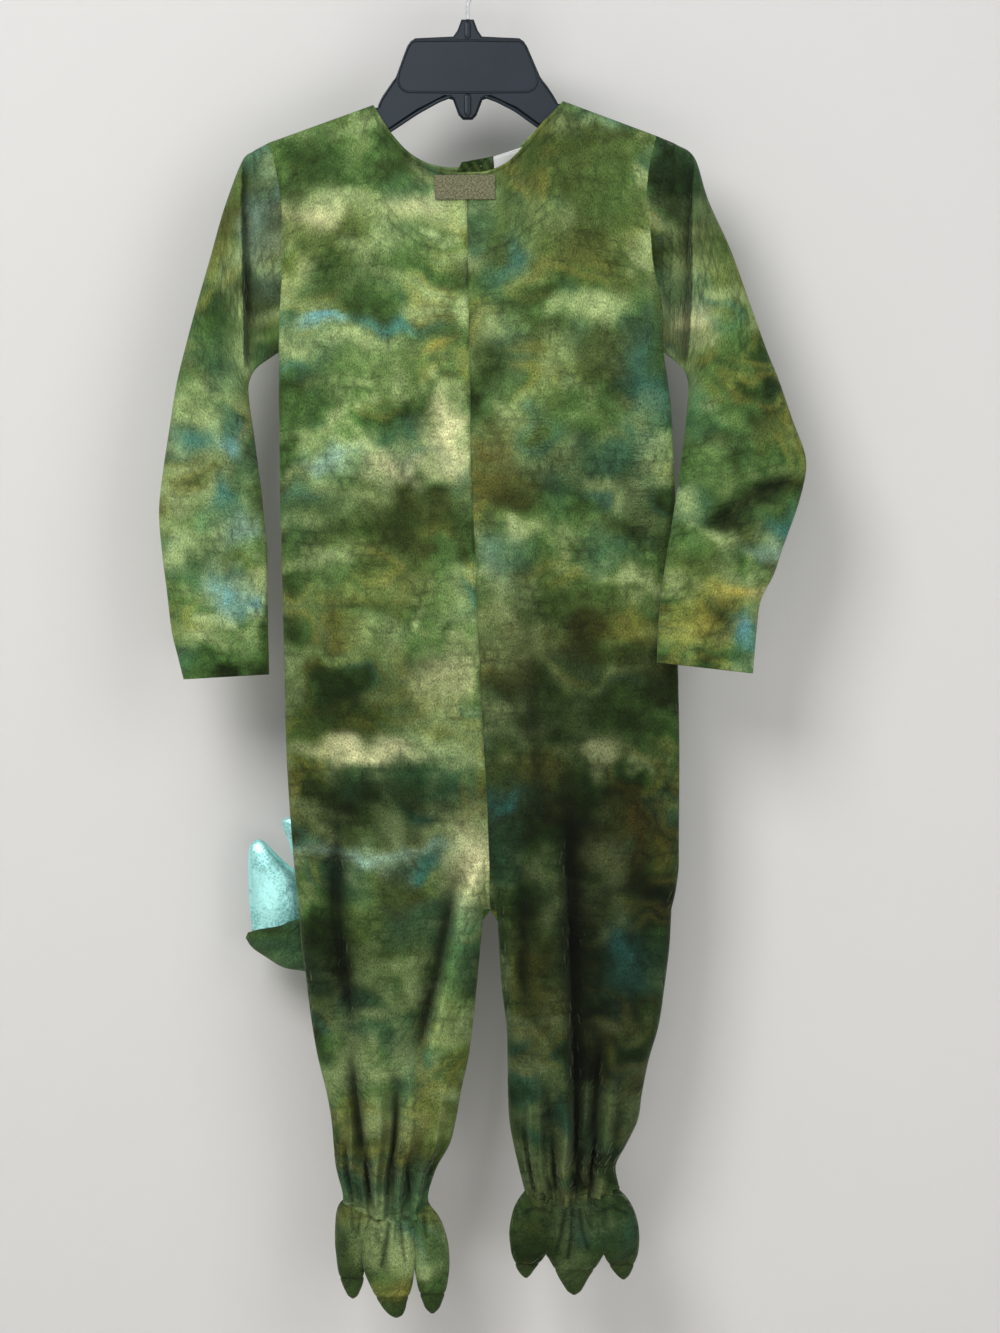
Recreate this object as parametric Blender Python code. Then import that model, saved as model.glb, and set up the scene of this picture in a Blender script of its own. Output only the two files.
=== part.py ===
# A child's one-piece dinosaur costume on a plastic hanger, hanging flat.
# Lengths in the tables are millimetres and turn into metres once, in add_object.
# Axes: x to the viewer's right, y away from the viewer, z up, origin under the top of the hook.
# "left" in a name is the viewer's left.
import math

import bpy
import numpy as np
from mathutils.geometry import tessellate_polygon
from mathutils import Vector

MM = 0.001

# driving dimensions, metres
CLOTH_THICKNESS = 0.0016
SEAM_GAP = 0.0003
SHOULDER_ROLL = 0.0063
GATHER_HEIGHT = 0.0011
GATHERS_A_SIDE = 8
CASING_HEIGHT = 0.013
HANGER_PLATE = 0.0066
HOOK_WIRE = 0.0032
HOOK_RADIUS = 0.0170

# the same in millimetres
THICK = CLOTH_THICKNESS / MM
GAP = SEAM_GAP / MM
ROLL = SHOULDER_ROLL / MM

# height where the two shoulder lines would meet over the neck
NECK_CROWN = -103.0

TRUNK_COLUMNS = 12
LEG_COLUMNS = 24
ARMHOLE_STEPS = (0.0, 0.011, 0.036, 0.097, 0.186, 0.303, 0.437, 0.582, 0.733, 0.877, 1.0)

# neck edge, from the centre out to the shoulder: x, z of front, x, z of back
NECK = {
    "left": (
        (0.0, -194.7, 0.0, -184.4),
        (-17.0, -194.4, -17.0, -185.0),
        (-34.0, -188.0, -34.0, -181.5),
        (-50.0, -176.0, -50.0, -172.5),
        (-65.0, -158.5, -65.0, -157.5),
        (-77.3, -139.0, -77.3, -138.6),
        (-79.9, -134.3, -79.9, -134.3),
    ),
    "right": (
        (0.0, -194.7, 0.0, -184.4),
        (17.0, -193.6, 17.0, -182.2),
        (34.0, -186.0, 34.0, -175.8),
        (49.0, -170.5, 49.0, -164.0),
        (64.0, -151.0, 64.0, -149.6),
        (79.6, -134.9, 79.6, -134.6),
        (82.5, -130.9, 82.5, -130.9),
    ),
}

# armhole seam from the shoulder end down to the underarm: z, x
ARMHOLE = {
    "left": (
        (-166.6, -169.2),
        (-196.3, -161.5),
        (-227.8, -157.2),
        (-269.4, -156.4),
        (-310.2, -158.9),
        (-345.9, -160.7),
    ),
    "right": (
        (-160.7, 162.3),
        (-190.4, 155.5),
        (-219.3, 153.8),
        (-233.8, 155.5),
        (-277.9, 159.8),
        (-301.8, 165.8),
        (-345.9, 168.3),
    ),
}

# trunk below the underarm: z, left side, centre seam, right side
TRUNK = (
    (-345.9, -160.7, 2.5, 168.3),
    (-386.8, -160.7, 3.4, 174.2),
    (-429.2, -160.2, 3.4, 176.8),
    (-471.8, -159.8, 5.1, 178.5),
    (-522.8, -158.5, 7.6, 180.2),
    (-573.8, -157.2, 9.3, 180.2),
    (-624.8, -156.0, 11.9, 181.0),
    (-675.8, -154.7, 14.4, 181.9),
    (-718.2, -152.6, 17.0, 181.9),
    (-760.8, -149.6, 18.7, 181.5),
    (-790.5, -147.0, 19.6, 181.0),
    (-811.8, -144.5, 19.6, 177.7),
    (-821.9, -143.7, 20.4, 175.1),
)

# legs below the crotch: z, inner seam, outer seam
LEGS = {
    "left": (
        (-833.0, 13.6, -142.8),
        (-854.2, 11.9, -141.1),
        (-872.1, 10.2, -138.5),
        (-912.9, 6.0, -133.4),
        (-947.8, 1.7, -127.5),
        (-979.2, -5.1, -119.8),
        (-1003.0, -9.3, -115.6),
        (-1022.5, -14.4, -113.9),
        (-1041.0, -25.0, -112.0),
        (-1060.0, -32.0, -107.0),
    ),
    "right": (
        (-833.0, 26.3, 174.7),
        (-854.2, 27.6, 173.4),
        (-888.2, 29.8, 169.2),
        (-922.2, 34.0, 164.0),
        (-952.0, 34.9, 155.5),
        (-981.8, 35.3, 149.6),
        (-1003.0, 36.5, 146.2),
        (-1022.5, 39.9, 136.8),
        (-1041.2, 44.2, 127.5),
        (-1058.2, 48.4, 130.0),
    ),
}

# how far the front of each ankle hangs below its back, as a slope
ANKLE_TILT = {"left": 0.6, "right": 0.3}

# half depth of the hanging cloth: z, front, back
DEPTH = (
    (-130.0, 20.0, 18.0),
    (-346.0, 22.0, 20.0),
    (-520.0, 22.0, 20.0),
    (-690.0, 25.0, 26.0),
    (-822.0, 25.0, 27.0),
    (-950.0, 24.0, 24.0),
    (-1020.0, 22.0, 22.0),
    (-1062.0, 18.0, 18.0),
)

# folds: face, height (a trough is negative), half width, then the points x, z of its line
FOLDS = (
    ("front", -2.5, 11.0, ((101.0, -315.0), (104.5, -350.0), (111.0, -406.0))),
    ("front", -2.5, 11.0, ((70.5, -409.0), (74.0, -482.0))),
    ("front", -9.0, 9.0, ((80.0, -693.0), (83.0, -790.0), (87.5, -888.0), (91.0, -965.0), (92.7, -1050.0))),
    ("front", -3.0, 9.0, ((48.5, -824.0), (48.5, -872.0))),
    ("front", -3.0, 5.0, ((72.0, -995.0), (76.5, -1052.0))),
    ("front", -4.0, 6.0, ((111.0, -931.0), (110.0, -995.0), (106.0, -1045.0))),
    ("front", 3.0, 6.0, ((52.0, -977.0), (55.0, -1012.0), (64.0, -1050.0))),
    ("front", -4.0, 12.0, ((-110.5, -758.0), (-111.4, -824.0), (-104.6, -872.0), (-96.9, -921.0))),
    ("front", -3.5, 9.0, ((18.0, -780.0), (-20.0, -824.0), (-30.0, -881.0), (-46.0, -954.0))),
    ("front", 3.0, 6.0, ((-111.0, -975.0), (-92.0, -1045.0))),
    ("front", -4.0, 5.5, ((-89.0, -963.0), (-80.8, -1055.0))),
    ("front", -4.0, 5.5, ((-63.0, -974.0), (-66.0, -1055.0))),
    ("front", 3.0, 6.0, ((-41.7, -936.0), (-50.0, -1000.0), (-56.0, -1050.0))),
    ("back", -7.0, 10.0, ((98.0, -730.0), (94.0, -830.0), (96.0, -960.0), (92.0, -1048.0))),
    ("back", -6.0, 10.0, ((-82.0, -770.0), (-78.0, -880.0), (-74.0, -1000.0), (-70.0, -1048.0))),
    ("back", -3.0, 11.0, ((-90.0, -380.0), (-84.0, -470.0))),
    ("back", -3.0, 11.0, ((96.0, -330.0), (104.0, -430.0))),
    ("back", -3.5, 6.0, ((125.0, -940.0), (120.0, -1040.0))),
    ("back", -3.5, 6.0, ((-40.0, -950.0), (-48.0, -1045.0))),
)

# sleeves: outer x, z, inner x, z, half depth, depth of the middle
SLEEVES = {
    "left": (
        (-181.9, -173.4, -166.5, -349.8, 16.0, 0.0),
        (-192.1, -182.8, -172.3, -353.8, 16.5, -1.0),
        (-207.4, -223.5, -178.3, -358.4, 17.0, -2.0),
        (-219.3, -266.1, -183.0, -364.6, 17.0, -3.0),
        (-229.5, -301.8, -186.2, -374.8, 16.5, -4.0),
        (-239.7, -340.0, -185.3, -391.0, 16.0, -5.0),
        (-248.2, -375.7, -181.9, -413.9, 16.0, -5.0),
        (-254.2, -413.9, -178.5, -439.4, 16.0, -5.0),
        (-259.2, -447.9, -175.1, -464.9, 16.0, -6.0),
        (-262.6, -481.9, -172.5, -490.4, 16.0, -6.0),
        (-260.1, -515.9, -170.0, -517.6, 16.0, -7.0),
        (-255.8, -549.9, -170.0, -548.2, 15.5, -8.0),
        (-251.6, -583.9, -169.2, -582.2, 15.0, -9.0),
        (-246.5, -605.2, -168.7, -602.6, 14.5, -9.0),
        (-241.4, -625.6, -168.3, -621.4, 14.0, -9.0),
    ),
    "right": (
        (177.5, -167.0, 173.6, -349.8, 16.0, 0.0),
        (194.7, -179.3, 178.8, -353.8, 16.5, -1.0),
        (206.5, -215.9, 183.2, -358.4, 17.0, -2.0),
        (225.2, -257.6, 187.2, -365.0, 17.0, -3.0),
        (242.2, -305.1, 189.4, -376.0, 16.5, -5.0),
        (255.0, -341.7, 188.2, -393.0, 16.0, -7.0),
        (266.1, -369.8, 186.0, -413.0, 16.0, -9.0),
        (277.9, -404.6, 182.8, -437.8, 16.0, -11.0),
        (289.0, -439.4, 178.5, -468.3, 16.0, -15.0),
        (283.1, -473.4, 174.2, -495.6, 15.5, -19.0),
        (269.4, -511.7, 169.2, -524.4, 15.0, -22.0),
        (260.9, -536.4, 166.6, -543.1, 15.0, -24.0),
        (249.9, -558.4, 164.0, -563.5, 14.5, -25.0),
        (246.5, -580.5, 162.3, -585.6, 14.0, -26.0),
        (243.1, -620.5, 161.5, -611.1, 14.0, -26.0),
    ),
}

# the line where each sleeve's front folds back toward the armhole: z, x
SLEEVE_FOLD = {
    "left": ((-182.8, -192.1), (-259.2, -191.2), (-335.8, -189.5)),
    "right": ((-179.3, 193.8), (-224.4, 192.1), (-291.6, 192.1), (-363.8, 187.8)),
}

# creases of the sleeves: height, half width, points x, z
SLEEVE_CREASES = {
    "left": (
        (-3.5, 9.0, ((-250.0, -425.0), (-215.0, -448.0), (-186.0, -470.0))),
        (-3.0, 9.0, ((-245.0, -520.0), (-205.0, -530.0), (-180.0, -548.0))),
    ),
    "right": (
        (-4.5, 10.0, ((282.0, -452.0), (240.0, -478.0), (195.0, -500.0))),
        (-3.5, 8.0, ((268.0, -500.0), (235.0, -513.0), (195.0, -530.0))),
    ),
}

# toes, top to bottom: z, middle x, half width, half depth, middle y
TOES = {
    "toe_left_1": (
        (-1073.6, -98.4, 8.5, 7.5, -9.0),
        (-1086.0, -99.4, 10.0, 9.0, -9.5),
        (-1104.0, -100.3, 10.8, 10.0, -10.5),
        (-1122.0, -100.2, 10.6, 9.5, -11.0),
        (-1135.4, -99.4, 8.8, 8.0, -11.5),
    ),
    "toe_left_2": (
        (-1073.6, -67.4, 20.6, 8.5, -9.0),
        (-1088.0, -67.2, 21.2, 11.0, -10.0),
        (-1108.0, -66.8, 21.4, 12.0, -11.0),
        (-1130.0, -65.8, 20.2, 11.5, -12.0),
        (-1152.6, -62.6, 14.0, 9.0, -13.0),
    ),
    "toe_left_3": (
        (-1073.6, -36.8, 8.8, 8.0, -9.0),
        (-1088.0, -33.4, 11.2, 10.0, -10.0),
        (-1106.0, -30.0, 14.2, 11.0, -11.0),
        (-1130.0, -29.6, 14.6, 11.0, -12.0),
        (-1150.0, -29.8, 11.5, 9.0, -13.0),
    ),
    "toe_right_1": (
        (-1071.6, 61.8, 12.4, 8.5, -8.0),
        (-1083.0, 56.8, 14.0, 10.5, -9.0),
        (-1098.0, 51.6, 14.4, 11.5, -10.0),
        (-1112.0, 51.0, 13.6, 11.0, -11.0),
        (-1122.6, 51.0, 10.4, 9.0, -11.5),
    ),
    "toe_right_2": (
        (-1071.6, 89.2, 14.4, 8.5, -8.0),
        (-1084.0, 90.0, 18.6, 11.0, -9.0),
        (-1100.0, 91.6, 23.6, 12.5, -10.0),
        (-1116.0, 91.8, 21.6, 12.0, -11.0),
        (-1128.6, 92.2, 14.6, 10.0, -12.0),
    ),
    "toe_right_3": (
        (-1071.6, 117.0, 12.8, 8.5, -8.0),
        (-1083.0, 123.6, 14.0, 10.5, -9.0),
        (-1098.0, 131.0, 14.4, 11.5, -10.0),
        (-1112.0, 132.4, 13.2, 11.0, -11.0),
        (-1122.8, 133.4, 10.2, 9.0, -11.5),
    ),
}

# length of each claw below its toe
CLAWS = {
    "toe_left_1": 17.0,
    "toe_left_2": 15.0,
    "toe_left_3": 15.0,
    "toe_right_1": 12.0,
    "toe_right_2": 19.5,
    "toe_right_3": 12.5,
}

# tail, from the seat to the tip: x, y, z, radius, then the direction of its ridge
TAIL = (
    (10.0, 27.5, -690.0, 27.0, 0.0, 0.0, 1.0),
    (9.0, 52.0, -700.0, 27.0, 0.0, 0.8, 0.6),
    (4.0, 61.5, -730.0, 29.0, 0.0, 0.98, 0.2),
    (-10.0, 63.0, -764.0, 29.5, 0.1, 0.95, 0.2),
    (-38.0, 62.0, -810.0, 28.5, 0.2, 0.8, 0.5),
    (-70.0, 59.0, -843.0, 27.5, 0.1, 0.4, 0.9),
    (-100.0, 56.0, -855.0, 26.0, 0.0, 0.0, 1.0),
    (-140.0, 52.0, -856.1, 23.6, 0.0, 0.0, 1.0),
    (-160.0, 50.0, -856.1, 19.0, 0.0, 0.0, 1.0),
    (-171.7, 49.0, -853.9, 14.0, 0.0, 0.0, 1.0),
    (-184.5, 48.0, -850.7, 7.9, 0.0, 0.0, 1.0),
    (-191.5, 47.5, -848.0, 2.5, 0.0, 0.0, 1.0),
)

# spikes, from the tail up: left x, z, right x, z, half thickness, middle y
SPIKES = {
    "spike_1": (
        (-185.6, -843.4, -146.4, -834.4, 4.0, 49.5),
        (-187.5, -829.0, -147.0, -818.0, 6.5, 49.5),
        (-188.7, -814.0, -150.0, -798.0, 7.5, 49.5),
        (-189.3, -795.0, -160.5, -780.0, 7.0, 49.5),
        (-189.2, -778.0, -170.5, -770.0, 5.5, 49.5),
        (-187.0, -768.0, -178.0, -764.6, 3.0, 49.5),
    ),
    "spike_2": (
        (-141.0, -832.9, -102.0, -829.7, 4.0, 54.0),
        (-142.6, -820.0, -104.0, -812.0, 6.5, 54.0),
        (-145.5, -803.0, -110.0, -790.0, 7.5, 54.0),
        (-150.8, -780.0, -124.0, -768.0, 7.0, 54.0),
        (-156.0, -762.0, -139.0, -755.0, 5.5, 54.0),
        (-160.5, -750.5, -152.0, -745.4, 3.0, 54.0),
    ),
}

# flat pieces on the panels: x from, x to, z from, z to, face, side of the cloth, thickness
FLAT_PIECES = {
    "neck_patch": (-27.2, 24.6, -218.4, -196.6, "front", "outside", 1.5),
    "back_tab": (-10.2, 22.1, -192.1, -175.9, "back", "inside", 3.6),
    "neck_label": (22.9, 49.3, -187.8, -168.3, "back", "inside", 0.8),
}

# hanger plate between the arms, going round from the left arm's top: x, z
HANGER_MIDDLE_TOP = (
    (-76.0, -136.8),
    (-72.5, -129.0),
    (-60.4, -110.5),
    (-54.0, -93.0),
    (-48.4, -80.5),
    (-44.0, -77.5),
    (-11.5, -76.0),
    (-8.0, -71.0),
    (-4.4, -61.5),
    (6.0, -61.5),
    (9.6, -71.0),
    (13.1, -76.0),
    (45.0, -77.5),
    (49.3, -80.5),
    (55.4, -93.0),
    (62.9, -110.5),
    (74.0, -126.5),
    (78.2, -133.6),
)
HANGER_MIDDLE_LOW = (
    (61.2, -152.2),
    (42.0, -138.0),
    (20.0, -128.0),
    (13.5, -130.0),
    (8.6, -143.0),
    (4.8, -147.0),
    (-3.2, -147.0),
    (-7.0, -143.0),
    (-11.8, -130.0),
    (-18.4, -128.0),
    (-42.0, -140.0),
    (-66.3, -156.4),
)

for item in list(bpy.data.objects):
    bpy.data.objects.remove(item, do_unlink=True)


def make_material(name, colour, roughness, metallic=0.0):
    material = bpy.data.materials.new(name)
    material.use_nodes = True
    shader = material.node_tree.nodes["Principled BSDF"]
    shader.inputs["Base Color"].default_value = (*colour, 1.0)
    shader.inputs["Roughness"].default_value = roughness
    shader.inputs["Metallic"].default_value = metallic
    return material


MATERIALS = {
    "plush_green": make_material("plush_green", (0.10, 0.16, 0.06), 0.95),
    "foil_turquoise": make_material("foil_turquoise", (0.16, 0.48, 0.46), 0.35, 0.6),
    "claw_green": make_material("claw_green", (0.03, 0.06, 0.02), 0.9),
    "hook_tape": make_material("hook_tape", (0.18, 0.17, 0.11), 0.9),
    "label_white": make_material("label_white", (0.75, 0.75, 0.72), 0.7),
    "plastic_black": make_material("plastic_black", (0.03, 0.035, 0.045), 0.4),
    "wire_steel": make_material("wire_steel", (0.55, 0.55, 0.56), 0.25, 1.0),
}


def add_object(name, points, faces, material):
    mesh = bpy.data.meshes.new(name)
    scaled = np.asarray(points, dtype=float) * MM
    mesh.from_pydata([tuple(p) for p in scaled], [], [tuple(int(i) for i in f) for f in faces])
    mesh.update()
    mesh.materials.append(MATERIALS[material])
    obj = bpy.data.objects.new(name, mesh)
    bpy.context.scene.collection.objects.link(obj)
    return obj


def smooth(t):
    t = np.clip(t, 0.0, 1.0)
    return t * t * (3.0 - 2.0 * t)


def column(table, z, index):
    """Value of one column of a table at height z; the table runs downward."""
    rows = np.array(table, dtype=float)
    return np.interp(-np.asarray(z, dtype=float), -rows[:, 0], rows[:, index])


def line_distance(x, z, points):
    """Distance of each x, z from a bent line, and how far along it the nearest point lies (0..1)."""
    best = np.full(np.shape(x), 1e9)
    along = np.zeros(np.shape(x))
    spans = [math.hypot(b[0] - a[0], b[1] - a[1]) for a, b in zip(points, points[1:])]
    total = sum(spans)
    done = 0.0
    for (a, b), span in zip(zip(points, points[1:]), spans):
        dx, dz = (b[0] - a[0]) / span, (b[1] - a[1]) / span
        t = np.clip((x - a[0]) * dx + (z - a[1]) * dz, 0.0, span)
        d = np.hypot(x - a[0] - t * dx, z - a[1] - t * dz)
        nearer = d < best
        best = np.where(nearer, d, best)
        along = np.where(nearer, (done + t) / total, along)
        done += span
    return best, along


def fold_height(x, z, points, height, width):
    """A soft ridge or trough: bell shaped across its line and fading at both ends."""
    d, along = line_distance(x, z, points)
    ends = smooth(along / 0.15) * smooth((1.0 - along) / 0.15)
    return height * np.exp(-((d / width) ** 2)) * (0.25 + 0.75 * ends)


def shoulder_height(x, side):
    """Height of the shoulder seam's line above any x, carried on over the neck."""
    a, b = NECK[side][-1], ARMHOLE[side][0]
    slope = (b[0] - a[1]) / (b[1] - a[0])
    ends = [NECK["left"][-1], (0.0, NECK_CROWN), NECK["right"][-1]]
    over_neck = np.interp(x, [p[0] for p in ends], [p[1] for p in ends])
    return np.where(np.abs(x) < abs(a[0]), over_neck, a[1] + (x - a[0]) * slope)


def panel_depth(x, z, side, face):
    """How far a panel's outer face stands from the middle plane y = 0."""
    x = np.asarray(x, dtype=float)
    z = np.asarray(z, dtype=float)
    full = column(DEPTH, z, 1 if face == "front" else 2)
    centre = column(TRUNK, z, 2)
    trunk_edge = np.where(
        z > TRUNK[0][0],
        column(ARMHOLE[side], z, 1),
        column(TRUNK, z, 1 if side == "left" else 3),
    )
    leg_inner = column(LEGS[side], z, 1)
    leg_outer = column(LEGS[side], z, 2)
    in_leg = z < TRUNK[-1][0] - 0.01
    inner = np.where(in_leg, leg_inner, np.where(z > TRUNK[0][0], 0.0, centre))
    outer = np.where(in_leg, leg_outer, trunk_edge)
    s = np.clip((x - inner) / (outer - inner), 0.0, 1.0)
    s = np.where(in_leg, s, np.clip((s - 0.02) / 0.98, 0.0, 1.0))
    # shoulder: a half round over the hanger's arm, then the cloth swings out
    drop = np.maximum(shoulder_height(x, side) - z, 0.0)
    roll = np.sqrt(np.maximum(ROLL**2 - np.maximum(ROLL - drop, 0.0) ** 2, 0.0))
    top = np.where(drop < ROLL, roll, ROLL + (full - ROLL) * smooth((drop - ROLL) / 85.0))
    # the panel's edge stands off at the armhole and closes toward the underarm
    fall = np.clip((-190.0 - z) / 155.9, 0.0, 1.0)
    edge = np.sqrt(np.clip(1.0 - fall**2.5, 0.0, 1.0))
    across = np.sqrt(np.clip(1.0 - s**2.6, 0.0, 1.0))
    trunk = top * (edge + (1.0 - edge) * across)
    # toward the crotch each half closes on itself to make a leg
    round_leg = np.sqrt(np.clip(1.0 - np.abs(2.0 * s - 1.0) ** 2.4, 0.0, 1.0))
    closing = np.clip((-718.2 - z) / 103.7, 0.0, 1.0)
    keep = np.where(in_leg, 0.0, np.sqrt(1.0 - closing**2))
    depth = np.where(z < -718.2, full * (keep * across + (1.0 - keep) * round_leg), trunk)
    # folds and gathers die out at the seams
    width = np.abs(outer - inner)
    to_outer = (1.0 - s) * width
    to_inner = np.where(z < -718.2, s * width + 40.0 * keep, 99.0)
    fade = smooth(to_outer / 16.0) * smooth(to_inner / 16.0) * smooth((drop - ROLL) / 20.0)
    folds = np.zeros(np.shape(depth))
    for where, height, half, points in FOLDS:
        if where == face:
            folds = folds + fold_height(x, z, points, height, half)
    ankle = LEGS[side][-1][0]
    gathered = smooth(1.0 - (z - ankle) / 85.0)
    waves = GATHER_HEIGHT / MM * np.cos(2.0 * math.pi * GATHERS_A_SIDE * s)
    return depth + fade * (folds + gathered * waves)


def column_shares(count, both_ends):
    i = np.arange(count + 1) / count
    if both_ends:
        return 0.55 * i + 0.45 * 0.5 * (1.0 - np.cos(math.pi * i))
    return 0.5 * i + 0.5 * np.sin(0.5 * math.pi * i)


def panel_rows(side, face):
    """Rows of outer points, each running from the inner edge to the side."""
    share = column_shares(TRUNK_COLUMNS, False)
    neck = NECK[side]
    pick = (0, 1) if face == "front" else (2, 3)
    half = TRUNK_COLUMNS // 2
    arm_z = ARMHOLE[side][0][0] + np.array(ARMHOLE_STEPS) * (TRUNK[0][0] - ARMHOLE[side][0][0])
    arm = np.stack([column(ARMHOLE[side], arm_z, 1), arm_z], axis=1)
    top = [(neck[i][pick[0]], neck[i][pick[1]]) for i in range(half + 1)]
    shoulder = np.array(top[-1]), arm[0]
    for i in range(1, half + 1):
        top.append(tuple(shoulder[0] + (shoulder[1] - shoulder[0]) * i / half))
    top = np.array(top)
    low_z = TRUNK[0][0]
    low_x = TRUNK[0][2] + (arm[-1][0] - TRUNK[0][2]) * share
    low = np.stack([low_x, np.full(len(share), low_z)], axis=1)
    steps = np.array(ARMHOLE_STEPS)
    centre = top[0] + (low[0] - top[0]) * steps[:, None]
    rows = []
    for j, v in enumerate(steps):
        u = share[:, None]
        flat = (1 - v) * top + v * low + (1 - u) * centre[j] + u * arm[j]
        flat = flat - ((1 - u) * (1 - v) * top[0] + u * (1 - v) * top[-1])
        flat = flat - ((1 - u) * v * low[0] + u * v * low[-1])
        rows.append(flat)
    edge = 1 if side == "left" else 3
    for row in TRUNK[1:]:
        rows.append(np.stack([row[2] + (row[edge] - row[2]) * share, np.full(len(share), row[0])], axis=1))
    leg_share = column_shares(LEG_COLUMNS, True)
    for z, inner, outer in LEGS[side]:
        rows.append(np.stack([inner + (outer - inner) * leg_share, np.full(len(leg_share), z)], axis=1))
    sign = -1.0 if face == "front" else 1.0
    ankle = LEGS[side][-1][0]
    out = []
    for j, flat in enumerate(rows):
        y = sign * panel_depth(flat[:, 0], flat[:, 1], side, face)
        if j == 0:
            y[half:] = 0.0
        if j >= len(steps) - 1:
            y[-1] = 0.0
        if j >= len(steps) + len(TRUNK) - 2:
            y[0] = 0.0
        z = flat[:, 1] + ANKLE_TILT[side] * y * smooth(1.0 - (flat[:, 1] - ankle) / 60.0)
        out.append(np.stack([flat[:, 0], y, z], axis=1))
    return out


def rows_to_triangles(rows, closed=False):
    """Join rows of points with triangles; a row may have twice as many steps as the one above."""
    points = np.concatenate(rows)
    faces = []
    start = 0
    for a, b in zip(rows, rows[1:]):
        na, nb = len(a), len(b)
        sa, sb = start, start + na
        if na == nb:
            for i in range(na if closed else na - 1):
                k = (i + 1) % na
                if i < na // 2:
                    faces += [(sa + i, sb + i, sb + k), (sa + i, sb + k, sa + k)]
                else:
                    faces += [(sa + i, sb + i, sa + k), (sa + k, sb + i, sb + k)]
        else:
            for i in range(na - 1):
                f = sb + 2 * i
                faces += [(sa + i, f, f + 1), (sa + i, f + 1, sa + i + 1), (sa + i + 1, f + 1, f + 2)]
        start += na
    return points, np.array(faces)


def face_normals(points, faces):
    a, b, c = points[faces[:, 0]], points[faces[:, 1]], points[faces[:, 2]]
    return np.cross(b - a, c - a)


CLOTH = {}


def keep_cloth(name, rows, flip, closed=False):
    points, faces = rows_to_triangles(rows, closed)
    if flip:
        faces = faces[:, ::-1]
    CLOTH[name] = (points, faces)


for side in ("left", "right"):
    for face in ("front", "back"):
        keep_cloth(f"{face}_{side}", panel_rows(side, face), (side == "left") == (face == "front"))


def armhole_ring(side):
    """The armhole from the shoulder end down the front to the underarm and up the back."""
    ring = []
    for face in ("front", "back"):
        rows = panel_rows(side, face)[: len(ARMHOLE_STEPS)]
        ring.append(np.array([row[-1] for row in rows]))
    return np.concatenate([ring[0], ring[1][-2:0:-1]])


def sleeve_rows(side):
    ring = armhole_ring(side)
    count = len(ARMHOLE_STEPS) - 1
    run = np.concatenate([[0.0], np.cumsum(np.linalg.norm(np.diff(ring[: count + 1], axis=0), axis=1))])
    first = run / run[-1]
    i = np.arange(count + 1) / count
    even = 0.5 * i + 0.25 * (1.0 - np.cos(math.pi * i))
    rows = [ring]
    fold = SLEEVE_FOLD[side]
    for r, (ox, oz, ix, iz, deep, middle) in enumerate(SLEEVES[side], 1):
        blend = min(r / 3.0, 1.0)
        f = (1.0 - blend) * first + blend * even
        f = np.concatenate([f, f[-2:0:-1]])
        sign = np.concatenate([-np.ones(count + 1), np.ones(count - 1)])
        x = ox + (ix - ox) * f
        z = oz + (iz - oz) * f
        shape = np.sqrt(np.clip(1.0 - np.abs(2.0 * f - 1.0) ** 2.4, 0.0, 1.0))
        height = deep * shape
        # the cloth between the fold line and the armhole lies farther back
        fold_x = column(fold, z, 1)
        arm_x = column(ARMHOLE[side], z, 1)
        inward = (x - fold_x) * (1.0 if side == "left" else -1.0)
        share = np.clip(inward / np.maximum(np.abs(arm_x - fold_x), 4.0), 0.0, 1.0)
        dip = 11.0 * smooth(inward / 5.0) * (1.0 - share) ** 0.8
        dip = dip * smooth((-175.0 - z) / 25.0)
        creases = np.zeros(len(x))
        for amount, half, points in SLEEVE_CREASES[side]:
            creases = creases + fold_height(x, z, points, amount, half)
        front = height - np.minimum(dip, 0.7 * height) + creases * shape
        back = height + 0.7 * creases * shape
        y = middle + sign * np.where(sign < 0, front, back)
        rows.append(np.stack([x, y, z], axis=1))
    return rows


for side in ("left", "right"):
    keep_cloth(f"sleeve_{side}", sleeve_rows(side), side == "right", closed=True)


def ankle_ring(side):
    front = panel_rows(side, "front")[-1]
    back = panel_rows(side, "back")[-1]
    return np.concatenate([front, back[-2:0:-1]])


for side in ("left", "right"):
    ring = ankle_ring(side)
    middle = ring.mean(axis=0)
    high = CASING_HEIGHT / MM
    casing = [ring]
    for drop, size in ((0.5, 0.985), (1.0, 1.0)):
        lower = ring.copy()
        lower[:, :2] = middle[:2] + (ring[:, :2] - middle[:2]) * size
        lower[:, 2] = LEGS[side][-1][0] + ANKLE_TILT[side] * lower[:, 1] - drop * high
        casing.append(lower)
    keep_cloth(f"ankle_casing_{side}", casing, side == "left", closed=True)


def key(p):
    return tuple(np.round(p, 3))


def border_edges(faces):
    """Directed edges that belong to one triangle only."""
    seen = {}
    for f in faces:
        for a, b in ((f[0], f[1]), (f[1], f[2]), (f[2], f[0])):
            seen[(int(a), int(b))] = True
    return [e for e in seen if (e[1], e[0]) not in seen]


# normals are shared where pieces meet, so the walls of two pieces meet at one angle
SHARED = {}
BORDER = {}
for name, (points, faces) in CLOTH.items():
    sums = np.zeros_like(points)
    n = face_normals(points, faces)
    for k in range(3):
        np.add.at(sums, faces[:, k], n)
    sums = sums / np.maximum(np.linalg.norm(sums, axis=1), 1e-9)[:, None]
    for p, v in zip(points, sums):
        SHARED[key(p)] = SHARED.get(key(p), 0.0) + v
    for a, b in border_edges(faces):
        pair = frozenset((key(points[a]), key(points[b])))
        BORDER.setdefault(pair, set()).add(name)


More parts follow.
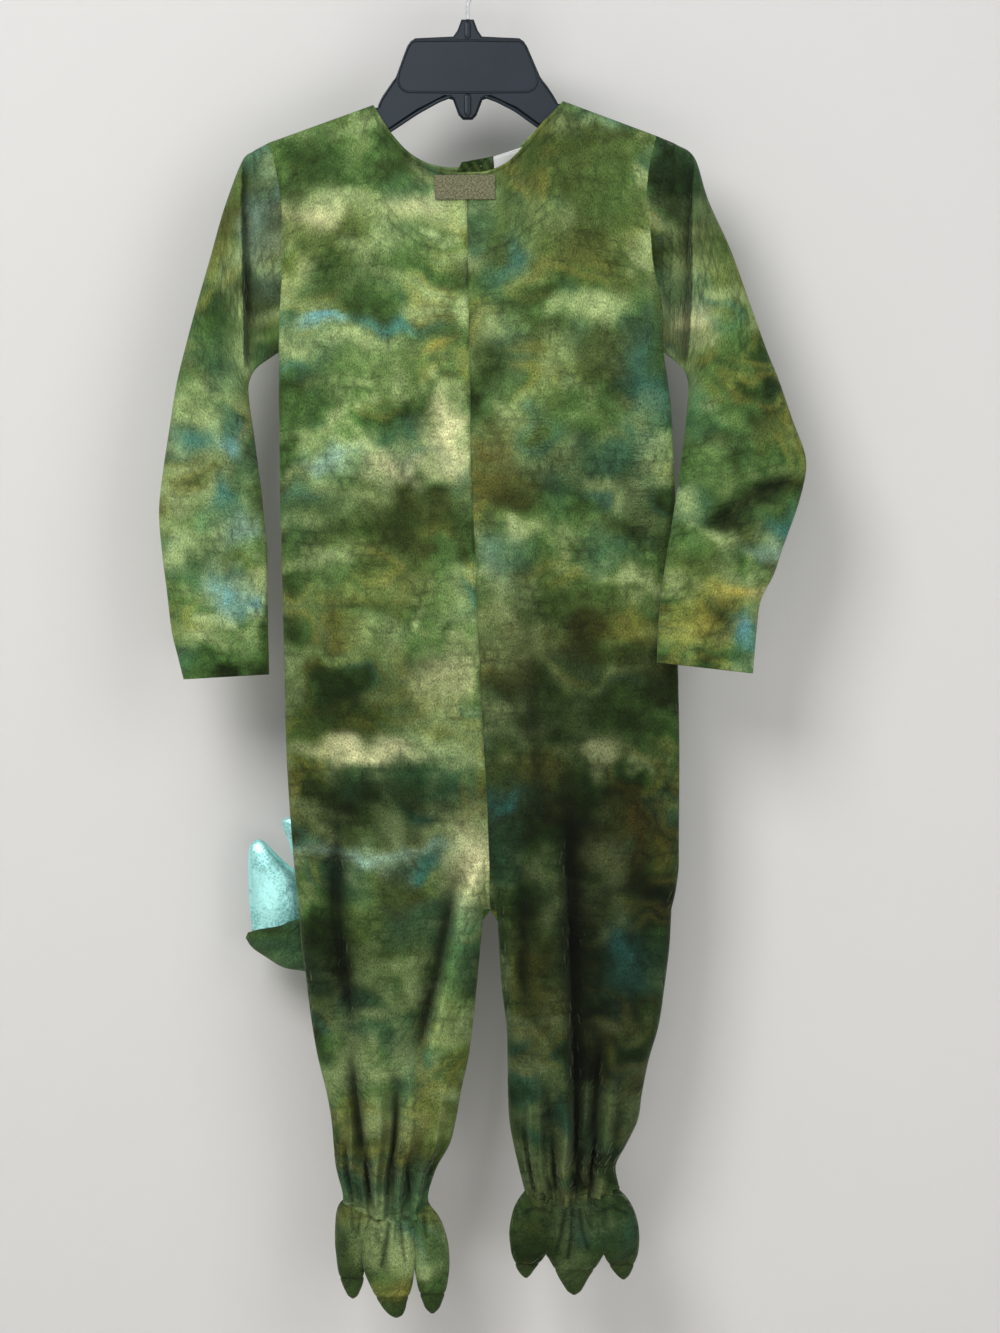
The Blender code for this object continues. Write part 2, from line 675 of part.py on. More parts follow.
def shell(name, thickness, material, foot_slope=None):
    """Give a piece its wall: outer face, inner face and the rim between them."""
    points, faces = CLOTH[name]
    normals = np.array([SHARED[key(p)] for p in points])
    if foot_slope is not None:
        flat = np.array([0.0, -foot_slope, 1.0])
        flat = flat / np.linalg.norm(flat)
        last = points[:, 2] < LEGS[name.split("_")[-1]][-1][0] + foot_slope * points[:, 1] - CASING_HEIGHT / MM + 0.1
        normals[last] -= np.outer(normals[last] @ flat, flat)
    normals = normals / np.linalg.norm(normals, axis=1)[:, None]
    edges = border_edges(faces)
    moves = {}
    for a, b in edges:
        pair = frozenset((key(points[a]), key(points[b])))
        if len(BORDER[pair]) < 2:
            continue
        for v in (a, b):
            inward = np.cross(normals[v], points[b] - points[a])
            inward = inward / np.linalg.norm(inward)
            moves.setdefault(v, []).append(inward)
    outer = points.copy()
    for v, directions in moves.items():
        total = np.sum(directions, axis=0) / len(directions)
        outer[v] += 0.5 * GAP * total / max(float(total @ total), 0.3)
    inner = outer - normals * thickness
    count = len(points)
    triangles = [tuple(f) for f in faces] + [tuple(f[::-1] + count) for f in faces]
    for a, b in edges:
        # both pieces at a seam split the rim along the same diagonal
        if key(points[a]) < key(points[b]):
            triangles += [(b, a, a + count), (b, a + count, b + count)]
        else:
            triangles += [(b, a, b + count), (a, a + count, b + count)]
    return add_object(name, np.concatenate([outer, inner]), triangles, material)


for side in ("left", "right"):
    for face in ("front", "back"):
        shell(f"{face}_{side}", THICK, "plush_green")
    shell(f"sleeve_{side}", THICK, "plush_green")
    shell(f"ankle_casing_{side}", THICK, "plush_green", ANKLE_TILT[side])


def loft(name, rings, material, dent=0.0):
    """A stuffed solid from a stack of rings, closed at both ends round a middle point."""
    n = len(rings[0])
    points = [p for ring in rings for p in ring]
    points += [np.mean(rings[0], axis=0) + (0.0, dent, 0.0), np.mean(rings[-1], axis=0)]
    first, last = len(points) - 2, len(points) - 1
    faces = []
    for r in range(len(rings) - 1):
        for i in range(n):
            k = (i + 1) % n
            a, b = r * n + i, r * n + k
            c, d = a + n, b + n
            faces += [(a, c, d), (a, d, b)]
    base = (len(rings) - 1) * n
    for i in range(n):
        k = (i + 1) % n
        faces += [(first, i, k), (last, base + k, base + i)]
    points = np.array(points)
    faces = np.array(faces)
    a, b, c = (points[faces[:, k]] for k in range(3))
    if float((a * np.cross(b, c)).sum()) < 0.0:
        faces = faces[:, ::-1]
    return add_object(name, points, faces, material)


def oval(count, power=2.4):
    """Unit points round a softly squared circle."""
    t = 2.0 * math.pi * (np.arange(count) + 0.5) / count
    c, s = np.cos(t), np.sin(t)
    return np.sign(c) * np.abs(c) ** (2.0 / power), np.sign(s) * np.abs(s) ** (2.0 / power)


for name, table in TOES.items():
    side = name.split("_")[1]
    tilt = ANKLE_TILT[side]
    u, v = oval(12)
    rings = []
    for r, (z, x, wide, deep, y) in enumerate(table):
        px, py = x + wide * u, y + deep * v
        if r == 0:
            seat = LEGS[side][-1][0] - CASING_HEIGHT / MM - GAP
            pz = seat + tilt * py
        else:
            lean = tilt * (1.0 - r / (len(table) - 1.0))
            pz = np.minimum(z + lean * (py + 9.0), seat + tilt * py - 4.0 * r)
        rings.append(np.stack([px, py, pz], axis=1))
    loft(name, rings, "plush_green")
    z, x, wide, deep, y = table[-1]
    length = CLAWS[name]
    claw = []
    for share, size in ((0.0, 1.0), (0.45, 0.86), (0.8, 0.55), (1.0, 0.2)):
        pz = rings[-1][:, 2] - GAP - share * length
        claw.append(np.stack([x + wide * size * u, y - 2.0 * share + deep * size * v, pz], axis=1))
    loft(name.replace("toe", "claw"), claw, "claw_green")


def tail_rings():
    rows = np.array(TAIL)
    centre = rows[:, :3].copy()
    rings = []
    u, v = oval(12, 2.0)
    for r in range(len(rows)):
        a, b = centre[max(r - 1, 0)], centre[min(r + 1, len(rows) - 1)]
        along = (b - a) / np.linalg.norm(b - a)
        if r == 0:
            along = np.array([0.0, 1.0, 0.0])
        ridge = rows[r, 4:7] - (rows[r, 4:7] @ along) * along
        ridge = ridge / np.linalg.norm(ridge)
        across = np.cross(along, ridge)
        rings.append(centre[r] + rows[r, 3] * (np.outer(v, ridge) + np.outer(u, across)))
    # the first ring follows the seat of the back, a seam's gap away
    for p in rings[0]:
        side = "left" if p[0] < column(TRUNK, p[2], 2) else "right"
        p[1] = float(panel_depth(p[0], p[2], side, "back")) + GAP + 0.1
    return rings


loft("tail", tail_rings(), "plush_green", dent=4.0)

for name, table in SPIKES.items():
    u, v = oval(12, 2.2)
    rings = []
    for lx, lz, rx, rz, thick, y in table:
        x = 0.5 * (lx + rx) + 0.5 * (rx - lx) * u
        z = 0.5 * (lz + rz) + 0.5 * (rz - lz) * u
        rings.append(np.stack([x, y + thick * v, z], axis=1))
    loft(name, rings, "foil_turquoise")


def flat_piece(name, x0, x1, z0, z1, face, where, thickness, material):
    """A piece lying on a panel, made from the panel's own points moved out."""
    across, up = 8, 4
    sign = -1.0 if face == "front" else 1.0
    gx, gz = np.meshgrid(np.linspace(x0, x1, across + 1), np.linspace(z1, z0, up + 1))
    depth = np.where(gx < 0.0, panel_depth(gx, gz, "left", face), panel_depth(gx, gz, "right", face))
    if where == "outside":
        near, far = depth + GAP + 0.1, depth + GAP + 0.1 + thickness
    else:
        near, far = depth - THICK - GAP - 0.1, depth - THICK - GAP - 0.1 - thickness
    n = gx.size
    a = np.stack([gx.ravel(), sign * near.ravel(), gz.ravel()], axis=1)
    b = np.stack([gx.ravel(), sign * far.ravel(), gz.ravel()], axis=1)
    faces = []
    w = across + 1
    for j in range(up):
        for i in range(across):
            p, q = j * w + i, (j + 1) * w + i
            faces += [(p, p + 1, q + 1), (p, q + 1, q)]
            faces += [(n + p, n + q + 1, n + p + 1), (n + p, n + q, n + q + 1)]
    ring = [i for i in range(w)] + [j * w + across for j in range(1, up + 1)]
    ring += [up * w + i for i in range(across - 1, -1, -1)] + [j * w for j in range(up - 1, 0, -1)]
    for i, p in enumerate(ring):
        q = ring[(i + 1) % len(ring)]
        faces += [(p, n + p, n + q), (p, n + q, q)]
    points = np.concatenate([a, b])
    faces = np.array(faces)
    p, q, r = (points[faces[:, k]] for k in range(3))
    if float((p * np.cross(q, r)).sum()) < 0.0:
        faces = faces[:, ::-1]
    return add_object(name, points, faces, material)


for name, row in FLAT_PIECES.items():
    slot = {"neck_patch": "hook_tape", "back_tab": "plush_green", "neck_label": "label_white"}[name]
    flat_piece(name, *row, slot)


def hanger_outline():
    """Outline of the plate: each arm follows its shoulder, just under the cloth."""
    under = THICK + 0.95
    tip = {"left": -160.0, "right": 155.0}
    outline = []
    for x in (tip["left"], -140.0, -115.0, -95.0, -80.5):
        outline.append((x, shoulder_height(x, "left") - under))
    outline += list(HANGER_MIDDLE_TOP)
    for x in (83.0, 97.0, 115.0, 135.0, tip["right"]):
        outline.append((x, shoulder_height(x, "right") - under))
    end = shoulder_height(tip["right"], "right") - under
    outline += [(tip["right"] + 3.0, end - 5.0), (tip["right"], end - 10.0)]
    outline += [(120.0, shoulder_height(120.0, "right") - under - 15.0)]
    outline += [(90.0, -158.0)]
    outline += list(HANGER_MIDDLE_LOW)
    outline += [(-92.0, -163.0)]
    outline += [(-124.0, shoulder_height(-124.0, "left") - under - 15.0)]
    end = shoulder_height(tip["left"], "left") - under
    outline += [(tip["left"], end - 10.0), (tip["left"] - 3.0, end - 5.0)]
    return np.array(outline)


def inset(outline, amount):
    """Move a closed clockwise outline inward by an amount, mitred at its corners."""
    before = np.roll(outline, 1, axis=0)
    after = np.roll(outline, -1, axis=0)
    a = outline - before
    b = after - outline
    a = a / np.linalg.norm(a, axis=1)[:, None]
    b = b / np.linalg.norm(b, axis=1)[:, None]
    na = np.stack([a[:, 1], -a[:, 0]], axis=1)
    nb = np.stack([b[:, 1], -b[:, 0]], axis=1)
    total = na + nb
    return outline + amount * total / np.maximum((total * total).sum(axis=1) / 2.0, 0.5)[:, None]


def hanger_plate():
    outline = hanger_outline()
    level = HANGER_PLATE / MM / 2.0
    loops = []
    for depth, amount in ((-level, 1.9), (-level * 0.45, 0.0), (level * 0.45, 0.0), (level, 1.9)):
        flat = inset(outline, amount)
        loops.append(np.stack([flat[:, 0], np.full(len(flat), depth), flat[:, 1]], axis=1))
    n = len(outline)
    points = np.concatenate(loops)
    faces = []
    for r in range(3):
        for i in range(n):
            k = (i + 1) % n
            a, b, c, d = r * n + i, r * n + k, (r + 1) * n + i, (r + 1) * n + k
            faces += [(a, c, d), (a, d, b)]
    ends = []
    for r in (0, 3):
        loop = [Vector((p[0], p[2], 0.0)) for p in loops[r]]
        ends.append([tuple(i + r * n for i in t) for t in tessellate_polygon([loop])])
    edges = {}
    for f in faces:
        for a, b in ((f[0], f[1]), (f[1], f[2]), (f[2], f[0])):
            edges[(a, b)] = True
    for cap in ends:
        turned = any((a, b) in edges for f in cap for a, b in ((f[0], f[1]), (f[1], f[2]), (f[2], f[0])))
        faces += [f[::-1] if turned else f for f in cap]
    faces = np.array(faces)
    a, b, c = (points[faces[:, k]] for k in range(3))
    if float((a * np.cross(b, c)).sum()) < 0.0:
        faces = faces[:, ::-1]
    return add_object("hanger_body", points, faces, "plastic_black")


hanger_plate()


def hook_path():
    """Stem up from the plate, out to the right, then round over the top to the left."""
    radius = HOOK_RADIUS / MM
    wire = HOOK_WIRE / MM / 2.0
    top = wire - radius
    path = [(0.8, -61.5 + GAP), (0.8, -56.0), (0.8, -50.0), (2.0, -45.0), (5.0, -39.6), (9.6, -33.4)]
    for degrees in np.linspace(-32.0, 196.0, 17):
        turn = math.radians(degrees)
        path.append((radius * math.cos(turn), top + radius * math.sin(turn)))
    return np.array(path)


def hook_rings():
    path = hook_path()
    wire = HOOK_WIRE / MM / 2.0
    rings = []
    t = 2.0 * math.pi * np.arange(8) / 8
    for r in range(len(path)):
        a, b = path[max(r - 1, 0)], path[min(r + 1, len(path) - 1)]
        along = (b - a) / np.linalg.norm(b - a)
        side = np.array([along[1], -along[0]])
        flat = path[r] + wire * np.outer(np.cos(t), side)
        rings.append(np.stack([flat[:, 0], wire * np.sin(t), flat[:, 1]], axis=1))
    return rings


loft("hanger_hook", hook_rings(), "wire_steel")
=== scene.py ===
import math

import bpy
import numpy as np
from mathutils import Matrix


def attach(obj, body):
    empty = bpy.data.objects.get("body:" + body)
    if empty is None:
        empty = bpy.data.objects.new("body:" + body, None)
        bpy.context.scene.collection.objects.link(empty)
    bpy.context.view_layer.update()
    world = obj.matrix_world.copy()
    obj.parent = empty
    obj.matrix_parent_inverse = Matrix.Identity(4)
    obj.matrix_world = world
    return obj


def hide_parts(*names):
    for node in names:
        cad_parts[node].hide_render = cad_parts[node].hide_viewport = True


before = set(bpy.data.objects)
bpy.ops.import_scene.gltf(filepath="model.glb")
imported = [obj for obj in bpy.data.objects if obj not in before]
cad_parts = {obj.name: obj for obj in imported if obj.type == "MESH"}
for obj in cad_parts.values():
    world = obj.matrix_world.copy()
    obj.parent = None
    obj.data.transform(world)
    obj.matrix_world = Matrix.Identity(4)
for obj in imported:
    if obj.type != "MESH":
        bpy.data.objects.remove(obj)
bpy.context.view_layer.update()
print("frame loaded")

# A child's tie-dyed velour dinosaur costume on a plastic hanger.
# Sizes in the tables are millimetres; left is the viewer's left, -y is the front.
mm = 0.001

cloth = {
    "wall": 1.4,  # velour with its pile
    "shoulderRoll": 6.3,  # radius over the hanger's arms
    "swingOut": 85.0,  # height over which the cloth leaves the arms for its hanging depth
    "neckCrown": -103.0,  # where the two shoulder lines would meet
    "underarmX": 2.5,  # centre seam at the underarm's height
    "sideTop": -190.0, "sideRun": 155.9,  # the side begins to close here and has closed this much lower
    "crotch": -718.2, "legRun": 103.7,  # the halves begin to close into legs and are closed
    "sidePower": 2.6, "legPower": 2.4,  # squareness of the section across a panel and a leg
    "gatherHigh": 125.0, "gatherDeep": 3.6, "gathers": 8.0,  # above the ankle elastic
    "columns": 100, "armRows": 72, "ankleRows": 22, "trunkStep": 3.2,  # points across and down a panel
}
# seeds of the random lattices for each piece's slack and for its dye
slackSeed = {"front_left": 3, "front_right": 5, "back_left": 7, "back_right": 11}
dyeSeed = {"front_left": 101, "front_right": 151, "back_left": 203, "back_right": 251, "sleeve_left": 301,
           "sleeve_right": 353, "paw_left": 501, "paw_right": 547, "tail": 601, "neck": 701}

# neck edge from the centre out to the shoulder: x, z of front, x, z of back
neckLine = {
    "left": (
        (0, -194.7, 0, -184.4), (-17, -194.4, -17, -185), (-34, -188, -34, -181.5), (-50, -176, -50, -172.5),
        (-65, -158.5, -65, -157.5), (-77.3, -139, -77.3, -138.6), (-79.9, -134.3, -79.9, -134.3),
    ),
    "right": (
        (0, -194.7, 0, -184.4), (17, -193.6, 17, -182.2), (34, -186, 34, -175.8), (49, -170.5, 49, -164),
        (64, -151, 64, -149.6), (79.6, -134.9, 79.6, -134.6), (82.5, -130.9, 82.5, -130.9),
    ),
}

# armhole seam, shoulder end to underarm: z, x
armholeLine = {
    "left": (
        (-166.6, -169.2), (-196.3, -161.5), (-227.8, -157.2), (-269.4, -156.4), (-310.2, -158.9), (-345.9, -160.7),
    ),
    "right": (
        (-160.7, 162.3), (-190.4, 155.5), (-219.3, 153.8), (-233.8, 155.5), (-277.9, 159.8), (-301.8, 165.8),
        (-345.9, 168.3),
    ),
}

# trunk below the underarm: z, left side, centre seam, right side
trunkLine = (
    (-345.9, -160.7, 2.5, 168.3), (-386.8, -160.7, 3.4, 174.2), (-429.2, -160.2, 3.4, 176.8),
    (-471.8, -159.8, 5.1, 178.5), (-522.8, -158.5, 7.6, 180.2), (-573.8, -157.2, 9.3, 180.2),
    (-624.8, -156, 11.9, 181), (-675.8, -154.7, 14.4, 181.9), (-718.2, -152.6, 17, 181.9),
    (-760.8, -149.6, 18.7, 181.5), (-790.5, -147, 19.6, 181), (-811.8, -144.5, 19.6, 177.7),
    (-821.9, -143.7, 20.4, 175.1),
)

# legs below the crotch: z, inner seam, outer seam
legLine = {
    "left": (
        (-833, 13.6, -142.8), (-854.2, 11.9, -141.1), (-872.1, 10.2, -138.5), (-912.9, 6, -133.4),
        (-947.8, 1.7, -127.5), (-979.2, -5.1, -119.8), (-1003, -9.3, -115.6), (-1022.5, -14.4, -113.9),
        (-1041, -25, -112), (-1060, -32, -107),
    ),
    "right": (
        (-833, 26.3, 174.7), (-854.2, 27.6, 173.4), (-888.2, 29.8, 169.2), (-922.2, 34, 164), (-952, 34.9, 155.5),
        (-981.8, 35.3, 149.6), (-1003, 36.5, 146.2), (-1022.5, 39.9, 136.8), (-1041.2, 44.2, 127.5),
        (-1058.2, 48.4, 130),
    ),
}

# the ankle's front hangs below its back by this slope
ankleTilt = {"left": 0.6, "right": 0.3}

# half depth of the hanging cloth: z, front, back
hangDepth = (
    (-130, 20, 18), (-346, 22, 20), (-520, 22, 20), (-690, 25, 26), (-822, 25, 27), (-950, 24, 24), (-1020, 22, 22),
    (-1062, 18, 18),
)

# creases placed one by one: height (a trough is negative), reach to the left, reach to the right, x z points
creases = {
    "front_left": (
        (-13, 9, 8, ((-113, -700), (-110.5, -758), (-111.4, -824), (-104.6, -872), (-96.9, -921), (-92, -960))),
        (-12, 8, 4.5, ((16, -750), (-12, -806), (-24, -871), (-42, -944), (-52, -990))),
        (8, 5, 9, ((24, -760), (-2, -815), (-14, -875), (-30, -940), (-40, -985))),
        (3.5, 16, 16, ((-90, -300), (-96, -420), (-92, -560))),
        (-3.8, 16, 12, ((-48, -330), (-52, -470), (-46, -600))),
        (-1.8, 16, 18, ((-128, -480), (-124, -640), (-120, -700))),
        (4.5, 9, 12, ((-92, -700), (-88, -780), (-86, -880))),
        (-2, 10, 14, ((-150, -240), (-118, -275), (-92, -290))),
        (1.6, 12, 12, ((-60, -205), (-98, -250), (-120, -310))),
        (6, 4, 6, ((-119.9, -960), (-106, -1006), (-89.3, -1060))),
        (-11, 7, 4.5, ((-99.5, -915), (-98, -950), (-92.7, -990), (-87.6, -1024), (-82, -1066))),
        (6, 4, 6, ((-86.5, -965), (-81.5, -1016), (-76, -1066))),
        (-11, 4.5, 4, ((-59, -950), (-59.5, -1000), (-65.5, -1067))),
        (7, 5, 4, ((-40.5, -925), (-51, -995), (-60.5, -1064))),
        (-7, 3.5, 3.5, ((-54, -1015), (-48, -1066))),
        (6, 4.5, 4, ((-25, -990), (-36, -1028), (-44.5, -1064))),
        (-8, 3.5, 3.5, ((-31, -1030), (-34.5, -1066))),
        (-6, 5, 5, ((-112, -990), (-102, -1030), (-96.5, -1066))),
    ),
    "front_right": (
        (-3, 9, 12, ((101, -315), (104.5, -350), (111, -406))),
        (-3, 12, 9, ((70.5, -409), (74, -482))),
        (-14.5, 4.5, 9, ((84, -665), (85, -720), (86.7, -770), (88.4, -825), (91, -900), (92.8, -965),
         (94, -1064))),
        (5, 11, 4, ((74, -690), (77, -790), (79, -888), (83, -965), (86, -1050))),
        (-8, 7, 5, ((44, -770), (48.5, -830), (48.5, -872), (50, -930))),
        (5, 6, 7, ((34, -760), (35, -860), (40, -930))),
        (3, 14, 12, ((58, -300), (56, -420), (60, -520))),
        (-2, 14, 16, ((136, -330), (140, -450), (150, -560))),
        (2, 12, 14, ((118, -470), (122, -560), (120, -660))),
        (-6, 8, 9, ((52, -545), (54, -640), (62, -720), (66, -790))),
        (2.5, 14, 14, ((140, -700), (138, -800), (130, -880))),
        (-10, 4.5, 4, ((67.5, -965), (71, -1000), (76, -1064))),
        (6, 3.5, 5, ((51, -955), (55, -1005), (64, -1064))),
        (-11, 5, 4, ((115, -905), (112, -965), (109.5, -1010), (105, -1062))),
        (6.5, 4.5, 5, ((124, -920), (121, -990), (113.5, -1062))),
        (5, 4.5, 4, ((103, -940), (102, -1010), (99, -1062))),
        (-6, 4, 4, ((134, -960), (127, -1020), (121, -1062))),
        (-5, 4, 4, ((46, -1000), (54, -1040), (57, -1062))),
    ),
    "back_left": (
        (-9, 11, 9, ((-82, -770), (-78, -880), (-74, -1000), (-70, -1056))),
        (-3, 14, 12, ((-90, -380), (-84, -470), (-88, -560))),
        (-4.5, 7, 6, ((-40, -930), (-44, -990), (-50, -1056))),
        (2.4, 14, 14, ((-120, -300), (-124, -420), (-118, -540))),
        (2.2, 12, 14, ((-40, -420), (-48, -560), (-52, -640))),
        (5, 5, 5, ((-58, -975), (-60, -1056))),
        (5, 5, 5, ((-96, -965), (-88, -1056))),
    ),
    "back_right": (
        (-10, 12, 8, ((98, -730), (94, -830), (96, -960), (92, -1056))),
        (-3, 12, 14, ((96, -330), (104, -430), (110, -520))),
        (-5, 6, 6, ((125, -930), (121, -1000), (117, -1056))),
        (2.4, 14, 12, ((50, -330), (58, -460), (54, -600))),
        (2.2, 12, 14, ((140, -440), (146, -560), (140, -680))),
        (5, 5, 5, ((104, -960), (104, -1056))),
        (5, 5, 5, ((66, -960), (72, -1056))),
    ),
}

# colours of the print's dyes; deep also stands for painted shadow at the right elbow
dyeAndShadowColours = {
    "deep": "#243312", "dark": "#324720", "green": "#415c30", "leaf": "#50703c", "olive": "#5c6433",
    "brown": "#585429", "moss": "#6b8350", "pale": "#95aa75", "cream": "#bec594", "yellow": "#9c9a4e",
    "teal": "#4d806e", "blue": "#6b9e98", "mist": "#84a38b", "cool": "#4a7660",
}
# how deep the dye bath took on each piece: z, factor
dyeBath = {
    "front_left": ((-200, 1), (-520, 1), (-700, 0.93), (-800, 0.8), (-950, 0.76), (-1090, 0.72)),
    "front_right": (
        (-200, 0.92), (-450, 0.95), (-620, 0.7), (-760, 0.5), (-900, 0.38), (-1060, 0.38), (-1090, 0.32),
    ),
    "back_left": ((-200, 1), (-600, 0.9), (-850, 0.7), (-1090, 0.8)),
    "back_right": ((-200, 0.95), (-600, 0.8), (-850, 0.55), (-1090, 0.5)),
    "paw_right": ((-1040, 0.4), (-1150, 0.38)),
    "paw_left": ((-1040, 0.69), (-1150, 0.73)),
    "sleeve_left": ((-150, 0.85), (-400, 0.95), (-620, 0.95)),
    "sleeve_right": ((-150, 0.8), (-400, 0.95), (-620, 0.9)),
}
# blotches placed one by one on each piece, mostly dye and a few of painted shadow: x, z, half width, half height,
# colour, strength
dyeAndShadowPlaces = {
    "front_left": (
        (-80, -650, 110, 60, "dark", 0.55), (-70, -740, 90, 50, "deep", 0.5), (-60, -900, 60, 40, "dark", 0.45),
        (-118, -190, 26, 15, "green", 0.8), (-104, -226, 46, 12, "pale", 0.9), (-45, -228, 34, 10, "moss", 0.7),
        (-50, -118, 14, 12, "teal", 0.6), (-126, -236, 20, 12, "cream", 0.8), (-36, -222, 20, 9, "cream", 0.5),
        (-104, -284, 32, 20, "green", 0.85), (-42, -268, 24, 16, "leaf", 0.7), (-122, -323, 20, 5, "blue", 1),
        (-60, -326, 26, 5, "teal", 0.9), (-95, -340, 50, 9, "pale", 0.8), (-40, -352, 40, 10, "moss", 0.6),
        (-26, -345, 10, 5, "yellow", 0.6), (-120, -385, 28, 20, "green", 0.7), (-50, -400, 26, 14, "dark", 0.6),
        (-12, -425, 14, 28, "cream", 0.9), (-52, -447, 26, 8, "cream", 0.7), (-112, -440, 20, 8, "mist", 0.8),
        (-90, -490, 46, 24, "dark", 0.8), (-20, -486, 26, 14, "dark", 0.6), (-112, -520, 20, 9, "pale", 0.6),
        (-25, -560, 16, 18, "moss", 0.7), (-110, -555, 30, 16, "moss", 0.4), (-80, -684, 40, 8, "cream", 0.85),
        (-20, -676, 14, 7, "pale", 0.6), (-100, -632, 46, 26, "deep", 0.6), (-70, -730, 66, 24, "deep", 0.7),
        (-20, -620, 20, 20, "cream", 0.4), (-110, -602, 40, 4, "moss", 0.7), (-80, -776, 70, 6, "mist", 0.8),
        (-34, -790, 20, 8, "teal", 0.7), (4, -785, 16, 28, "cream", 0.8), (-70, -850, 40, 26, "dark", 0.6),
        (-20, -900, 14, 40, "moss", 0.6), (-70, -1000, 26, 20, "pale", 0.6), (-40, -985, 14, 22, "yellow", 0.35),
    ),
    "front_right": (
        (80, -600, 90, 60, "brown", 0.4), (90, -720, 90, 90, "deep", 0.6), (95, -900, 70, 110, "deep", 0.55),
        (55, -172, 30, 20, "green", 0.6), (36, -268, 12, 26, "teal", 0.7), (60, -230, 30, 18, "moss", 0.5),
        (120, -215, 28, 20, "leaf", 0.5), (120, -140, 18, 14, "teal", 0.6), (95, -262, 26, 14, "olive", 0.7),
        (128, -290, 24, 16, "olive", 0.6), (20, -360, 16, 16, "dark", 0.7), (26, -330, 16, 14, "pale", 0.6),
        (90, -345, 40, 18, "moss", 0.5), (150, -380, 18, 60, "teal", 0.45), (30, -440, 24, 26, "brown", 0.7),
        (90, -430, 26, 20, "dark", 0.5), (120, -500, 22, 10, "moss", 0.5), (60, -560, 26, 26, "dark", 0.7),
        (140, -580, 20, 12, "yellow", 0.35), (28, -520, 16, 20, "mist", 0.35), (110, -684, 16, 9, "cream", 0.6),
        (60, -700, 12, 18, "olive", 0.6), (34, -722, 10, 9, "teal", 0.7), (90, -640, 60, 40, "dark", 0.7),
        (140, -760, 24, 30, "brown", 0.6), (100, -850, 40, 70, "deep", 0.6), (60, -880, 22, 30, "olive", 0.45),
        (140, -860, 14, 24, "teal", 0.5), (160, -890, 6, 20, "moss", 0.5), (70, -1000, 20, 30, "green", 0.5),
        (120, -1000, 12, 24, "moss", 0.5),
    ),
    "back_left": (
        (-90, -230, 50, 14, "pale", 0.8), (-60, -330, 50, 7, "teal", 0.8), (-100, -350, 40, 10, "cream", 0.6),
        (-30, -470, 24, 20, "cream", 0.7), (-100, -560, 44, 30, "dark", 0.7), (-60, -690, 50, 9, "pale", 0.8),
        (-90, -790, 40, 8, "mist", 0.8), (-60, -880, 40, 40, "dark", 0.6), (-70, -1000, 24, 20, "moss", 0.7),
    ),
    "back_right": (
        (60, -240, 40, 16, "moss", 0.7), (110, -300, 30, 18, "olive", 0.7), (40, -380, 26, 20, "pale", 0.7),
        (130, -430, 30, 30, "dark", 0.6), (80, -520, 40, 8, "teal", 0.7), (60, -640, 50, 30, "dark", 0.7),
        (120, -700, 30, 12, "cream", 0.6), (60, -830, 30, 40, "brown", 0.6), (120, -900, 30, 40, "dark", 0.6),
        (80, -1000, 26, 22, "moss", 0.6),
    ),
    "paw_left": (
        (-64, -1104, 14, 24, "pale", 0.7), (-66, -1140, 14, 12, "yellow", 0.6), (-78, -1112, 8, 14, "dark", 0.5),
        (-98, -1100, 12, 26, "moss", 0.6), (-28, -1112, 14, 34, "green", 0.8), (-48, -1100, 5, 12, "teal", 0.5),
    ),
    "paw_right": (
        (90, -1095, 60, 40, "green", 0.7), (92, -1090, 12, 14, "cool", 0.6), (130, -1100, 12, 20, "cool", 0.5),
        (55, -1100, 16, 20, "dark", 0.5),
    ),
    "sleeve_left": (
        (-180, -175, 14, 14, "teal", 0.7), (-178, -240, 16, 34, "mist", 0.8), (-210, -238, 10, 30, "olive", 0.7),
        (-215, -330, 22, 26, "green", 0.6), (-200, -380, 20, 10, "moss", 0.6), (-245, -421, 16, 10, "teal", 0.8),
        (-213, -425, 12, 8, "blue", 0.8), (-220, -465, 10, 8, "teal", 0.7), (-195, -490, 18, 12, "mist", 0.9),
        (-208, -552, 16, 15, "blue", 0.9), (-182, -556, 10, 10, "blue", 0.7), (-235, -520, 16, 26, "green", 0.6),
        (-200, -600, 30, 12, "leaf", 0.6),
    ),
    "sleeve_right": (
        (172, -190, 16, 26, "deep", 0.85), (212, -220, 16, 22, "moss", 0.5), (180, -270, 14, 20, "pale", 0.6),
        # two deep blotches at the elbow, x 250 z -462 and x 208 z -488, are painted shadow in its crease
        (182, -330, 16, 16, "cream", 0.6), (225, -330, 18, 26, "leaf", 0.6), (250, -462, 28, 9, "deep", 0.85),
        (200, -450, 18, 14, "moss", 0.4), (256, -492, 16, 10, "teal", 0.9), (208, -488, 22, 12, "deep", 0.9),
        (240, -509, 24, 6, "mist", 0.6), (205, -550, 26, 8, "yellow", 0.8), (235, -548, 16, 8, "cream", 0.6),
        (222, -592, 14, 12, "blue", 0.8), (180, -585, 14, 14, "yellow", 0.5), (200, -610, 30, 7, "green", 0.5),
    ),
}


# sRGB hex to linear: each channel below 0.04045 is divided by 12.92, the rest is raised to 2.4
def linear(hexColour):
    parts = [int(hexColour[i:i + 2], 16) / 255.0 for i in (1, 3, 5)]
    return tuple(p / 12.92 if p <= 0.04045 else ((p + 0.055) / 1.055) ** 2.4 for p in parts)


# eased step: 3t^2 - 2t^3 between 0 and 1
def ease(t):
    t = np.clip(t, 0.0, 1.0)
    return t * t * (3.0 - 2.0 * t)


